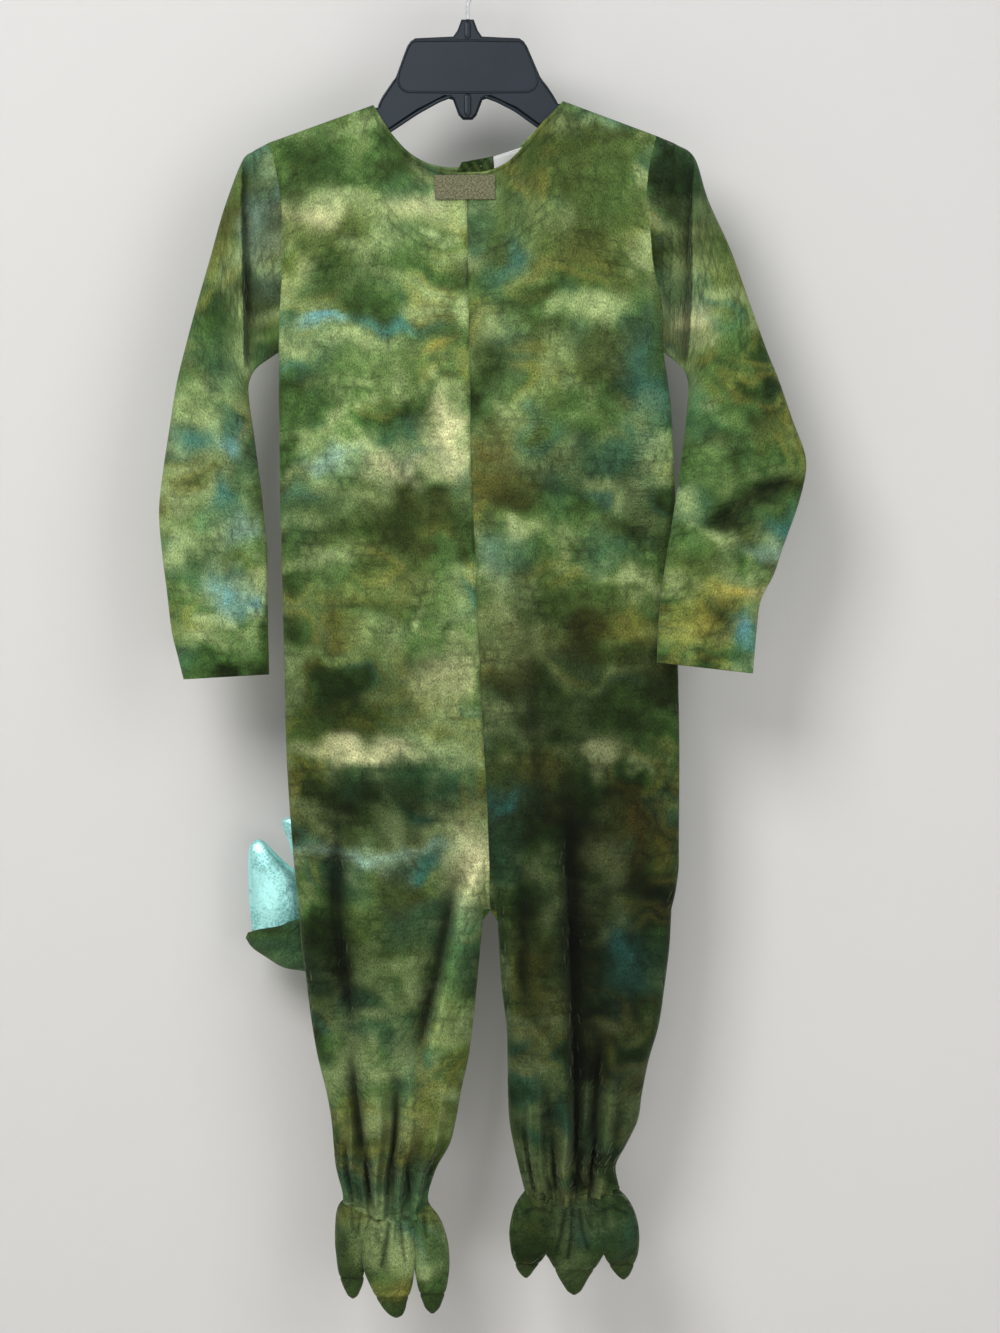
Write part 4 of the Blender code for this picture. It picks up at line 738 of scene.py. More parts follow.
# Rows of a panel from neck and shoulder to the ankle. Above the underarm the rows blend the neck, shoulder,
# armhole and centre lines; below it each row runs straight from the centre or inner seam to the side seam.
def panelGrid(side, face):
    share = crowded(cloth["columns"], 0.72)
    neck = np.array(neckLine[side])
    nx, nz = (neck[:, 0], neck[:, 1]) if face == "front" else (neck[:, 2], neck[:, 3])
    steps = np.arange(len(neck)) / (len(neck) - 1)
    armZ = armholeLine[side][0][0] + armSteps * (trunkLine[0][0] - armholeLine[side][0][0])
    arm = np.stack([downTable(armholeLine[side], armZ, 1), armZ], axis=1)
    top = np.stack([np.where(share < 0.5, curveThrough(share * 2.0, steps, line),
                             line[-1] + (arm[0, k] - line[-1]) * (share * 2.0 - 1.0))
                    for k, line in enumerate((nx, nz))], axis=1)
    centreX = cloth["underarmX"]
    low = np.stack([centreX + (arm[-1, 0] - centreX) * share, np.full(len(share), trunkLine[0][0])], axis=1)
    centre = top[0] + (low[0] - top[0]) * armSteps[:, None]
    u, v = share[None, :, None], armSteps[:, None, None]
    upper = (1 - v) * top + v * low + (1 - u) * centre[:, None] + u * arm[:, None]
    upper = upper - ((1 - u) * (1 - v) * top[0] + u * (1 - v) * top[-1] + (1 - u) * v * low[0] + u * v * low[-1])
    lowest = legLine[side][-1][0]
    z = np.arange(trunkLine[0][0] - cloth["trunkStep"], lowest + 30.0, -cloth["trunkStep"])
    z = np.concatenate([z, np.linspace(z[-1] - 2.0, lowest, cloth["ankleRows"])])[:, None]
    legTop, legFirst = trunkLine[-1][0], legLine[side][0][0]
    mixLeg = ease((legTop - z) / (legTop - legFirst))
    inner = (1 - mixLeg) * downTable(trunkLine, z, 2) + mixLeg * downTable(legLine[side], z, 1)
    sideColumn = 1 if side == "left" else 3
    outer = (1 - mixLeg) * downTable(trunkLine, z, sideColumn) + mixLeg * downTable(legLine[side], z, 2)
    x = inner + (outer - inner) * share
    lower = np.stack([x, np.broadcast_to(z, x.shape)], axis=-1)
    flat = np.concatenate([upper, lower])
    sign = -1.0 if face == "front" else 1.0
    depth = clothDepth(flat[..., 0], flat[..., 1], side, face)
    rowOfUnderarm = cloth["armRows"] - 1
    depth[0, share >= 0.5] = 0.0
    depth[rowOfUnderarm:, -1] = 0.0
    depth[flat[:, 0, 1] < legTop - 0.01, 0] = 0.0
    # a pressed groove along the centre seam and under the turned neck edge
    seam = np.linalg.norm(flat - flat[:, :1], axis=2)
    aboveLeg = ease((flat[:, :1, 1] - cloth["crotch"]) / 40.0)
    depth = depth - (1.1 * np.exp(-((seam / 1.3) ** 2)) - 0.5 * np.exp(-(((seam - 3.6) / 2.2) ** 2))) * aboveLeg
    if face == "front":
        fromNeck = np.abs(offLine(flat[..., 0], flat[..., 1], list(zip(nx, nz)))[0])
        atNeck = np.exp(-(((fromNeck - 3.4) / 0.9) ** 2)) * (np.abs(flat[..., 0]) < 76.0)
        depth = depth - 0.9 * atNeck
    y = sign * depth
    tilt = ankleTilt[side] * y * ease(1.0 - (flat[..., 1] - lowest) / 60.0)
    return np.stack([flat[..., 0], y, flat[..., 1] + tilt], axis=-1)


# where the pile was crushed in the packet: x, z, half width, half height
crushedPlaces = {
    "front_right": ((149, -455, 15, 75), (60, -420, 10, 30)),
    "front_left": ((-12, -330, 14, 20),),
    "back_left": ((-60, -480, 20, 60),),
}
panels = {}
for side in ("left", "right"):
    for face in ("front", "back"):
        name = f"{face}_{side}"
        grid = panelGrid(side, face)
        panels[name] = grid
        x, z = grid[..., 0], grid[..., 2]
        dyeAndShade = dyeAndShadowAt(x, z, name, dyeSeed[name])
        folded = clothDepth(x, z, side, face, folds=True)
        dyeAndShade = dyeAndShade * np.clip(1.0 + 0.085 * folded, 0.14, 1.5)[..., None]  # painted shade in the troughs of the creases and gathers, painted highlight on their ridges
        neck = np.array(neckLine[side])[:, (0, 1) if face == "front" else (2, 3)]
        fromNeck = np.abs(offLine(x, z, neck)[0])
        # painted highlight on the turned edge and painted shade along the stitching beside it
        hem = 1.0 + 0.5 * np.exp(-((fromNeck / 1.6) ** 2)) - 0.3 * np.exp(-(((fromNeck - 3.4) / 0.8) ** 2))
        dyeAndShade = dyeAndShade * hem[..., None]
        crushed = np.zeros(x.shape)
        for px, pz, halfWide, halfHigh in crushedPlaces.get(name, ()):
            crushed = np.maximum(crushed, np.exp(-((x - px) / halfWide) ** 2 - ((z - pz) / halfHigh) ** 2))
        piece = gridPiece(f"{name}_velour", grid, velourPrint, dyeAndShade, flip=(side == "left") == (face == "front"),
                          wall=cloth["wall"], crushed=crushed)
        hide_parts(name)
print("panels made")

# sleeves: outer x, z, inner x, z, half depth, middle y; one row for each station down the sleeve
sleeveTable = {
    "left": (
        (-181.9, -173.4, -166.5, -349.8, 16, 0), (-192.1, -182.8, -172.3, -353.8, 16.5, -1),
        (-207.4, -223.5, -178.3, -358.4, 17, -2), (-219.3, -266.1, -183, -364.6, 17, -3),
        (-229.5, -301.8, -186.2, -374.8, 16.5, -4), (-239.7, -340, -185.3, -391, 16, -5),
        (-248.2, -375.7, -181.9, -413.9, 16, -5), (-254.2, -413.9, -178.5, -439.4, 16, -5),
        (-259.2, -447.9, -175.1, -464.9, 16, -6), (-262.6, -481.9, -172.5, -490.4, 16, -6),
        (-260.1, -515.9, -170, -517.6, 16, -7), (-255.8, -549.9, -170, -548.2, 15.5, -8),
        (-251.6, -583.9, -169.2, -582.2, 15, -9), (-246.5, -605.2, -168.7, -602.6, 14.5, -9),
        (-241.4, -625.6, -168.3, -621.4, 14, -9),
    ),
    "right": (
        (177.5, -167, 173.6, -349.8, 16, 0), (194.7, -179.3, 178.8, -353.8, 16.5, -1),
        (206.5, -215.9, 183.2, -358.4, 17, -2), (225.2, -257.6, 187.2, -365, 17, -3),
        (242.2, -305.1, 189.4, -376, 16.5, -5), (255, -341.7, 188.2, -393, 16, -7),
        (266.1, -369.8, 186, -413, 16, -9), (277.9, -404.6, 182.8, -437.8, 16, -11),
        (289, -439.4, 178.5, -468.3, 16, -15), (283.1, -473.4, 174.2, -495.6, 15.5, -19),
        (269.4, -511.7, 169.2, -524.4, 15, -22), (260.9, -536.4, 166.6, -543.1, 15, -24),
        (249.9, -558.4, 164, -563.5, 14.5, -25), (246.5, -580.5, 162.3, -585.6, 14, -26),
        (243.1, -620.5, 161.5, -611.1, 14, -26),
    ),
}
sleeveFold = {
    "left": ((-182.8, -192.1), (-259.2, -191.2), (-335.8, -189.5)),
    "right": ((-179.3, 193.8), (-224.4, 192.1), (-291.6, 192.1), (-363.8, 187.8)),
}
sleeveCreases = {
    "left": (
        (-5, 9, 9, ((-250, -425), (-215, -448), (-186, -470))),
        (-3.5, 9, 9, ((-245, -520), (-205, -530), (-180, -548))),
        (2.6, 7, 8, ((-214, -250), (-222, -330), (-228, -400))),
        (-2.4, 7, 7, ((-204, -280), (-208, -350), (-206, -410))),
        (2, 8, 8, ((-232, -440), (-226, -500), (-228, -580))),
        (-2, 8, 8, ((-200, -470), (-196, -560), (-198, -610))),
    ),
    "right": (
        (-13, 9, 6, ((287, -446), (240, -478), (190, -502))),
        (-5, 8, 7, ((268, -500), (235, -513), (195, -530))),
        (5, 6, 7, ((278, -474), (240, -496), (200, -516))),
        (2.6, 8, 7, ((208, -240), (222, -310), (238, -380))),
        (-2.4, 7, 7, ((204, -290), (214, -350), (222, -420))),
        (2, 8, 8, ((186, -545), (190, -580), (188, -610))),
    ),
}


# A sleeve ring is two halves between the outer and the inner line, front and back, with the depth the root of
# 1 - |2f - 1|^2.4. In front of the armhole the cloth dips back behind a folded edge, then comes forward again.
def sleeveGrid(side):
    rows = cloth["armRows"]
    ring = np.concatenate([panels[f"front_{side}"][:rows, -1], panels[f"back_{side}"][:rows, -1][-2:0:-1]])
    run = np.concatenate([[0.0], np.cumsum(np.linalg.norm(np.diff(ring[:rows], axis=0), axis=1))])
    first = run / run[-1]
    i = np.arange(rows) / (rows - 1.0)
    even = 0.5 * i + 0.25 * (1.0 - np.cos(math.pi * i))
    table = np.array(sleeveTable[side])
    stations = np.arange(1, len(table) + 1, dtype=float)
    w = np.concatenate([np.linspace(0.0, 14.2, 138), np.linspace(14.24, 15.0, 18)])
    blend = np.minimum(w / 3.0, 1.0)[:, None]
    f = (1.0 - blend) * first + blend * even
    f = np.concatenate([f, f[:, -2:0:-1]], axis=1)
    sign = np.concatenate([-np.ones(rows), np.ones(rows - 2)])[None]
    at = np.maximum(w, 1.0)
    ox, oz, ix, iz, deep, middle = (curveThrough(at, stations, table[:, k])[:, None] for k in range(6))
    x = ox + (ix - ox) * f
    z = oz + (iz - oz) * f
    shape = np.sqrt(np.clip(1.0 - np.abs(2.0 * f - 1.0) ** 2.4, 0.0, 1.0))
    height = deep * shape
    foldX = downTable(sleeveFold[side], z, 1)
    armX = downTable(armholeLine[side], z, 1)
    inward = (x - foldX) * (1.0 if side == "left" else -1.0)
    share = np.clip(inward / np.maximum(np.abs(armX - foldX), 4.0), 0.0, 1.0)
    folded = ease((-175.0 - z) / 25.0) * ease((z + 364.0) / 18.0)
    dip = 15.0 * ease(inward / 3.0) * (1.0 - share) ** 0.8 * folded
    relief = creaseRelief(x, z, sleeveCreases[side])
    relief = relief + 2.2 * (cloud(x + 500, 0.6 * z + 900, 26.0, 61) - 0.5)
    relief = relief + 1.0 * (cloud(x + 500, z + 900, 11.0, 62) - 0.5)
    front = height - np.minimum(dip, 0.8 * height) + relief * shape
    back = height + 0.6 * relief * shape
    hem = 0.8 * np.exp(-(((w[:, None] - 14.80) / 0.035) ** 2))  # the stitched line above the cuff
    y = middle + sign * (np.where(sign < 0, front, back) - hem)
    tube = np.stack([x, y, z], axis=-1)
    firstRow = np.minimum(w, 1.0)[:, None, None]
    start = ease(firstRow) * 0.35 + firstRow * 0.65
    # painted shade on the cloth behind the folded edge and painted highlight on the edge itself
    behind = np.where((sign < 0) & (inward > 0), np.exp(-((inward / 7.0) ** 2)), 0.0)
    edge = np.where(sign < 0, np.exp(-(((inward + 1.6) / 1.6) ** 2)), 0.0)
    shade = 1.0 - 0.5 * folded * behind - 0.22 * folded * (inward > 0) + 0.22 * folded * edge
    # painted shade where the relief sinks and painted highlight where it rises
    shade = shade * np.clip(1.0 + 0.075 * relief, 0.32, 1.25)
    return ring[None] * (1.0 - start) + tube * start, shade


for side in ("left", "right"):
    name = f"sleeve_{side}"
    grid, shade = sleeveGrid(side)
    dyeAndShade = dyeAndShadowAt(grid[..., 0] + 0.6 * grid[..., 1], grid[..., 2], name, dyeSeed[name]) * shade[..., None]
    piece = gridPiece(f"{name}_velour", grid, velourPrint, dyeAndShade, closed=True, wall=cloth["wall"])
    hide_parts(name)
print("sleeves made")

# Elastic casing at each ankle: the panels' last row, pleats and all, carried down to the foot's seam, pinched
# in the middle and ruffled by two sine waves round the ring. The seam's height at the front: x, z.
casing = {
    "back": 15.0, "pinch": 0.05, "ruffles": {"left": 13.0, "right": 21.0}, "ruffle": {"left": 0.9, "right": 2.6},
    "rows": 30, "phase": {"left": 2.1, "right": 4.7},
    "seam": {"left": ((-112, -1073), (-104, -1073.5), (-90, -1079), (-76.5, -1084.6), (-60, -1087.5), (-50, -1087.8),
                      (-38, -1083.5), (-28, -1077)),
             "right": ((44, -1064), (54, -1068), (68, -1072.7), (87.6, -1075.6), (103.7, -1074.9), (120.3, -1068.5),
                       (134, -1062))},
}


def casingGrid(side):
    front, back = panels[f"front_{side}"], panels[f"back_{side}"]
    top = np.concatenate([front[-1], back[-1][-2:0:-1]])
    count = len(front[-1])
    middle = top.mean(axis=0)
    run = np.concatenate([[0.0], np.cumsum(np.linalg.norm(np.diff(top, axis=0), axis=1))])
    turn = run / (run[-1] + np.linalg.norm(top[0] - top[-1]))
    t = np.linspace(0.0, 1.0, casing["rows"])[:, None]
    phase = casing["phase"][side]
    wave = np.sin(2 * math.pi * casing["ruffles"][side] * turn + 1.6 * np.sin(2 * math.pi * 3 * turn + phase))
    wave = wave + 0.5 * np.sin(2 * math.pi * (casing["ruffles"][side] * 1.6) * turn + phase + 3.0 * t)
    belly = np.sin(math.pi * t)
    outward = top[:, :2] - middle[:2]
    outward = outward / np.maximum(np.linalg.norm(outward, axis=1), 1.0)[:, None]
    # pleats flatten toward the seam as the foot cover pulls them out
    smoothTop = top[:, :2].copy()
    for _ in range(60):
        smoothTop = 0.25 * np.roll(smoothTop, 1, axis=0) + 0.5 * smoothTop + 0.25 * np.roll(smoothTop, -1, axis=0)
    flatten = (0.55 * ease(t))[..., None]
    flat = top[None, :, :2] * (1 - flatten) + smoothTop[None] * flatten
    flat = middle[:2] + (flat - middle[:2]) * (1.0 - casing["pinch"] * belly)[..., None]
    flat = flat + outward * (casing["ruffle"][side] * wave * belly ** 0.7)[..., None]
    seam = np.array(casing["seam"][side])
    low = curveThrough(top[:, 0], seam[:, 0], seam[:, 1])
    share = np.linspace(0, 1, len(top))
    ends = low[0] * (1 - share) + low[count - 1] * share
    low = np.where(np.arange(len(top)) < count, low, np.minimum(ends, legLine[side][-1][0] - casing["back"] + 4.0))
    z = top[:, 2] * (1 - t) + low * t
    # painted shade in the ruffles' hollows and painted highlight on their crests
    shade = np.clip(1.0 + 0.12 * casing["ruffle"][side] * wave * belly, 0.35, 1.5)
    return np.concatenate([flat, z[..., None]], axis=-1), shade


for side in ("left", "right"):
    grid, shade = casingGrid(side)
    dyeAndShade = dyeAndShadowAt(grid[..., 0], grid[..., 2], f"front_{side}", dyeSeed[f"front_{side}"])
    # painted shade and highlight from the pleats' height in the panels' last rows, carried on down the casing below
    # them
    lastZ = legLine[side][-1][0] + 0.5
    last = np.concatenate([clothDepth(panels[f"{face}_{side}"][-1, :, 0], lastZ, side, face, folds=True)[order]
                           for face, order in (("front", slice(None)), ("back", slice(-2, 0, -1)))])
    level = np.linspace(1.0, 0.35, len(grid))[:, None]
    dyeAndShade = dyeAndShade * (shade * np.clip(1.0 + 0.06 * last * level, 0.3, 1.3))[..., None]
    piece = gridPiece(f"ankle_casing_{side}_velour", grid, velourPrint, dyeAndShade, closed=True, wall=cloth["wall"])
    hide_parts(f"ankle_casing_{side}")

# stuffed toes of the foot covers, top to tip: z, left, right, half depth, middle y; the claw begins at clawZ
toes = {
    "left_1": {"clawZ": -1134, "square": 0.85, "rows": (
        (-1067, -101, -86, 2, -0.5), (-1072, -107.5, -83, 4, -1), (-1076, -110, -82, 7.5, -4),
        (-1081, -111.3, -82, 10.5, -7), (-1088, -111.9, -82.5, 12.8, -9.5), (-1098, -112.2, -84.5, 13.5, -11),
        (-1106.7, -112, -85.3, 13.5, -11.5), (-1117.8, -110.9, -86.9, 13, -12),
        (-1129.2, -109.3, -87.2, 11.5, -12.5), (-1139, -106.3, -88, 9, -13), (-1145.8, -103.3, -90.5, 7, -13),
        (-1150.9, -99.9, -93.5, 4, -13.5), (-1152.6, -97.6, -95.8, 1.2, -13.5))},
    "left_2": {"clawZ": -1150, "square": 0.8, "rows": (
        (-1076, -80, -50, 2, -4), (-1083, -84, -44, 4, -6), (-1088, -86, -42.6, 8.5, -9),
        (-1093, -87.6, -42.4, 13, -12), (-1103.3, -89.1, -42.6, 17, -14.5), (-1117.8, -89.3, -43, 17.5, -15.5),
        (-1130.5, -86.5, -44.6, 15.5, -16), (-1140.7, -82, -46, 13.5, -16), (-1155.2, -74.3, -50.7, 9, -16),
        (-1162.8, -68.9, -52.7, 6, -16), (-1167.1, -63.8, -55.7, 3, -16), (-1168.5, -61, -58.4, 1, -16))},
    "left_3": {"clawZ": -1148, "square": 0.85, "rows": (
        (-1070, -44, -34, 2, -0.5), (-1077, -47.5, -29.5, 4.5, -2), (-1082, -48.5, -25, 7.5, -5),
        (-1088, -48.6, -21.3, 10.5, -8), (-1096, -48.6, -18.2, 13, -10.5), (-1105, -47.5, -15.8, 14, -11.5),
        (-1117.8, -45.6, -14.5, 14, -12), (-1130.5, -43.8, -14.9, 13, -12.5), (-1144.1, -41.1, -17.2, 10.5, -13),
        (-1154.3, -37.8, -20.4, 8, -13), (-1162, -34, -24.2, 4.5, -13.5), (-1165.2, -30.6, -27.6, 1.2, -13.5))},
    "right_1": {"clawZ": -1122, "square": 0.66, "rows": (
        (-1058, 54, 72, 2, -0.5), (-1064, 48.5, 76, 4.5, -1.5), (-1069, 44.5, 77.5, 8, -5),
        (-1076, 40.5, 78, 12, -9), (-1085.5, 37.8, 78, 15, -12), (-1096.5, 36.3, 77, 16, -12.5),
        (-1107.6, 37.2, 72.4, 14.5, -13), (-1114.4, 38.3, 68, 12.5, -13), (-1121.2, 40.8, 63, 10, -13),
        (-1128.8, 43.8, 57, 6.5, -13), (-1133.1, 47.2, 54, 3.5, -12.5), (-1135.2, 49.6, 51.8, 1, -12.5))},
    "right_2": {"clawZ": -1127, "square": 0.66, "rows": (
        (-1065, 76, 108, 2, -4), (-1072, 69, 115, 4, -6), (-1077, 65, 119, 8.5, -9),
        (-1083, 62.5, 121.5, 13.5, -12), (-1096.5, 62, 121.5, 16.5, -13.5), (-1109.3, 64.5, 119, 16, -14),
        (-1119.5, 70.6, 114, 14, -14.5), (-1127.1, 74.8, 108.8, 11.5, -14.5), (-1134.8, 78.7, 103.7, 9, -14.5),
        (-1141.6, 82.9, 99.9, 6.5, -15), (-1146.7, 86.7, 96.5, 3.5, -15), (-1149.2, 90.4, 92.8, 1, -15))},
    "right_3": {"clawZ": -1123, "square": 0.66, "rows": (
        (-1056, 112, 126, 2, -0.5), (-1062, 109, 131, 4.5, -1.5), (-1067, 107.5, 136, 8, -5),
        (-1074, 107, 141, 12, -9), (-1083, 107, 144.6, 15, -11.5), (-1096.5, 108.6, 147, 16, -12.5),
        (-1107.6, 112.9, 146.9, 14.5, -12.5), (-1114.4, 116.4, 145.9, 12.5, -12.5),
        (-1122, 120.3, 143.2, 10, -12.5), (-1129.7, 125.4, 140.3, 6.5, -12.5), (-1133.9, 129.2, 137.7, 3.5, -12.5),
        (-1136.5, 132.4, 134.8, 1, -12.5))},
}
# lines pressed into the paws: reach, depth, x z points
toeLines = {
    "right_2": (
        (1.3, 2.2, ((90, -1077), (88.5, -1098), (86, -1116))), (1.2, 1.8, ((84, -1077), (80, -1096), (76, -1110))),
        (1.2, 1.6, ((96, -1077), (98, -1092), (103, -1108))), (1, 1.2, ((100, -1077), (106, -1090))),
    ),
    "right_1": ((1.4, 1.6, ((48, -1079), (58, -1074.5), (72, -1078))),),
    "right_3": ((1.4, 1.6, ((112, -1078), (124, -1073.5), (136, -1079))),),
    "left_2": (
        (1.3, 2, ((-66, -1089), (-68, -1106), (-72, -1122))),
        (1.2, 1.6, ((-56, -1089), (-54, -1104), (-52, -1118))), (1, 1.3, ((-60, -1089), (-60.5, -1100))),
    ),
    "left_1": ((1.2, 1.4, ((-98, -1077), (-96, -1092))), (1.2, 1.4, ((-90, -1080), (-92, -1096)))),
    "left_3": ((1.2, 1.4, ((-36, -1084), (-34, -1098))),),
}


# A toe is a stack of softly squared rings between its left and right lines; a sunk seam runs round where the
# claw begins, and short gathers radiate from the ankle.
def toeGrid(name):
    table = np.array(toes[name]["rows"])
    stations = -table[:, 0]
    z = -(stations[0] + (stations[-1] - stations[0]) * crowded(110, 0.55))
    left, right, deep, middle = (curveThrough(-z, stations, table[:, k])[:, None] for k in (1, 2, 3, 4))
    angle = np.linspace(0.0, math.pi, 66)  # finer in front than behind
    angle = np.concatenate([angle, math.pi + np.linspace(0.0, math.pi, 32)[1:-1]])
    c, s = np.cos(angle), np.sin(angle)
    power = toes[name]["square"]
    u, v = np.sign(c) * np.abs(c) ** 0.88, np.sign(s) * np.abs(s) ** power
    x = 0.5 * (left + right) + 0.5 * (right - left) * u
    level = z[:, None] + 0.0 * x
    fromTop = table[0, 0] - level
    gathers = 1.1 * np.sin(x * 0.62 + 1.3 * np.sin(x * 0.17) + stations[0])
    gathers = gathers * ease(1.0 - fromTop / 60.0) * ease(fromTop / 10.0)
    seam = -1.1 * np.exp(-(((level - toes[name]["clawZ"]) / 1.1) ** 2))
    soft = 1.8 * (cloud(x + 300, level + 1300, 11.0, 81) - 0.5)
    pressed = np.zeros(x.shape)
    for reach, depth, points in toeLines[name]:
        pressed = pressed - depth * np.exp(-((offLine(x, level, points)[0] / (1.3 * reach)) ** 2)) * (v > 0.2)
    thickEnough = ease((deep - 3.0) / 6.0)
    y = middle - (deep + (gathers + soft) * thickEnough + pressed + seam) * v
    x = x + seam * 0.7 * u
    # painted shade in the pressed lines and the sunk seam, painted shade and highlight on the gathers
    shade = np.clip(1.0 + 0.34 * (pressed + seam) + 0.10 * gathers * thickEnough, 0.3, 1.2)
    shade = shade * (0.55 + 0.45 * ease((fromTop - 1.0) / 9.0))  # painted shade at the toe's top, tucked under the casing
    return np.stack([x, y, level], axis=-1), shade


for name in toes:
    grid, shade = toeGrid(name)
    paw = f"paw_{name.split('_')[0]}"
    dyeAndShade = dyeAndShadowAt(grid[..., 0] + 0.3 * grid[..., 1], grid[..., 2], paw, dyeSeed[paw])
    dyeAndShade = laidOver(dyeAndShade, 0.7 * ease((toes[name]["clawZ"] - grid[..., 2] + 3.0) / 7.0), "#2c3c1c") * shade[..., None]
    piece = gridPiece(f"toe_{name}_velour", grid, velourPrint, dyeAndShade, closed=True, caps=True)
    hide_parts(f"toe_{name}", f"claw_{name}")
print("feet made")

# tail from the seat to its tip: x, y, z, radius, then the direction of its ridge
tail = (
    (10, 25.5, -690, 27, 0, 0, 1), (9, 52, -700, 27, 0, 0.8, 0.6), (4, 61.5, -730, 29, 0, 0.98, 0.2),
    (-10, 63, -764, 29.5, 0.1, 0.95, 0.2), (-38, 62, -810, 28.5, 0.2, 0.8, 0.5),
    (-70, 59, -843, 27.5, 0.1, 0.4, 0.9), (-100, 56, -855, 26, 0, 0, 1), (-140, 52, -856.1, 23.6, 0, 0, 1),
    (-160, 50, -856.1, 19, 0, 0, 1), (-171.7, 49, -853.9, 14, 0, 0, 1), (-184.5, 48, -850.7, 7.9, 0, 0, 1),
    (-191.5, 47.5, -848, 2.5, 0, 0, 1),
)


# rings of a round profile carried along a smooth path, with slack wrinkles and a sunk seam down its ridge
def tailGrid():
    table = np.array(tail)
    chord = np.concatenate([[0.0], np.cumsum(np.linalg.norm(np.diff(table[:, :3], axis=0), axis=1))])
    t = np.linspace(0.0, chord[-1], 130)
    values = np.stack([curveThrough(t, chord, table[:, k]) for k in range(7)], axis=-1)
    centre, radius, ridge = values[:, :3], values[:, 3], values[:, 4:]
    along = np.gradient(centre, axis=0)
    along = along / np.linalg.norm(along, axis=1)[:, None]
    start = ease(t / 26.0)[:, None]
    along = start * along + (1 - start) * np.array([0.0, 1.0, 0.0])
    along = along / np.linalg.norm(along, axis=1)[:, None]
    ridge = ridge - (ridge * along).sum(axis=1)[:, None] * along
    ridge = ridge / np.linalg.norm(ridge, axis=1)[:, None]
    across = np.cross(along, ridge)
    angle = 2.0 * math.pi * np.arange(64) / 64
    alongT, aroundT = np.broadcast_arrays(t[:, None], 30.0 * np.abs(np.sin(angle / 2))[None])
    wrinkle = 1.6 * (cloud(alongT, aroundT, 11.0, 71) - 0.5)
    seam = -1.2 * np.exp(-((np.sin((angle - math.pi / 2) / 2) / 0.05) ** 2))
    r = radius[:, None] + (wrinkle + seam) * ease(radius / 10.0)[:, None]
    spoke = np.sin(angle)[:, None] * ridge[:, None] + np.cos(angle)[:, None] * across[:, None]
    grid = centre[:, None] + r[..., None] * spoke
    x, z = grid[0, :, 0], grid[0, :, 2]
    seat = [clothDepth(x, z, side, "back") for side in ("left", "right")]
    seat = np.where(x < downTable(trunkLine, z, 2), *seat)
    blendIn = ease(1.0 - t / 14.0)[:, None]
    grid[..., 1] = grid[..., 1] * (1 - blendIn) + blendIn * (seat[None] - 0.6 + 0.9 * t[:, None])
    return grid


grid = tailGrid()
dyeAndShade = dyeAndShadowAt(grid[..., 0] + grid[..., 1], grid[..., 2] + 0.4 * grid[..., 1], "tail", dyeSeed["tail"])
dyeAndShade = laidOver(dyeAndShade, 0.35, "#2e381a")
piece = gridPiece("tail_velour", grid, velourPrint, dyeAndShade, closed=True, caps=True)
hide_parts("tail")

# spikes on the tail, base to tip: left x, z, right x, z, half thickness, middle y
spikes = {
    "spike_1": (
        (-185.6, -846.4, -146.4, -837.4, 4, 49.5), (-187.5, -829, -147, -818, 7.5, 49.5),
        (-188.7, -814, -149, -796, 8.5, 49.5), (-189.3, -795, -160.5, -784, 8, 49.5),
        (-189.2, -780, -170.5, -774, 6, 49.5), (-187.8, -770.6, -176, -768, 3.6, 49.5),
        (-184.2, -765.6, -180.4, -764.6, 1.2, 49.5),
    ),
    "spike_2": (
        (-141, -835.9, -102, -832.7, 4, 54), (-142.6, -820, -104, -812, 7.5, 54),
        (-145.5, -803, -110, -790, 8.5, 54), (-150.8, -780, -124, -768, 8, 54), (-156, -762, -139, -755, 6, 54),
        (-160.2, -751.6, -149.8, -747, 3.4, 54), (-158.4, -746.6, -153.4, -745.4, 1.2, 54),
    ),
}


# a flat stuffed blade: oval rings between its two edges, with a thin welt where front and back are sewn
def spikeGrid(name):
    table = np.array(spikes[name])
    steps = np.arange(len(table), dtype=float)
    t = np.linspace(0.0, steps[-1], 96)
    lx, lz, rx, rz, thick, y = (curveThrough(t, steps, table[:, k])[:, None] for k in range(6))
    angle = 2.0 * math.pi * np.arange(96) / 96
    u, v = np.cos(angle), np.sin(angle)
    welt = 1.3 * np.exp(-((v / 0.10) ** 2)) * np.sign(u)
    x = 0.5 * (lx + rx) + 0.5 * (rx - lx) * u + welt * ease((rx - lx) / 14.0)
    z = 0.5 * (lz + rz) + 0.5 * (rz - lz) * u
    dimple = 1.6 * (cloud(x + 300, z + 900, 16.0, 91) - 0.5) + 0.4 * (cloud(x + 300, z + 900, 7.0, 92) - 0.5)
    side = np.sign(v) * np.abs(v) ** 0.5
    pinch = -0.9 * np.exp(-(((np.abs(u) - 0.93) / 0.05) ** 2))
    y = y + (thick + dimple * ease(thick / 5.0)) * side + pinch * side * ease(thick / 4.0)
    return np.stack([x, y, z], axis=-1)


for name in spikes:
    piece = gridPiece(f"{name}_foil", spikeGrid(name), foilKnit, closed=True, caps=True)
    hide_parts(name)
print("tail made")

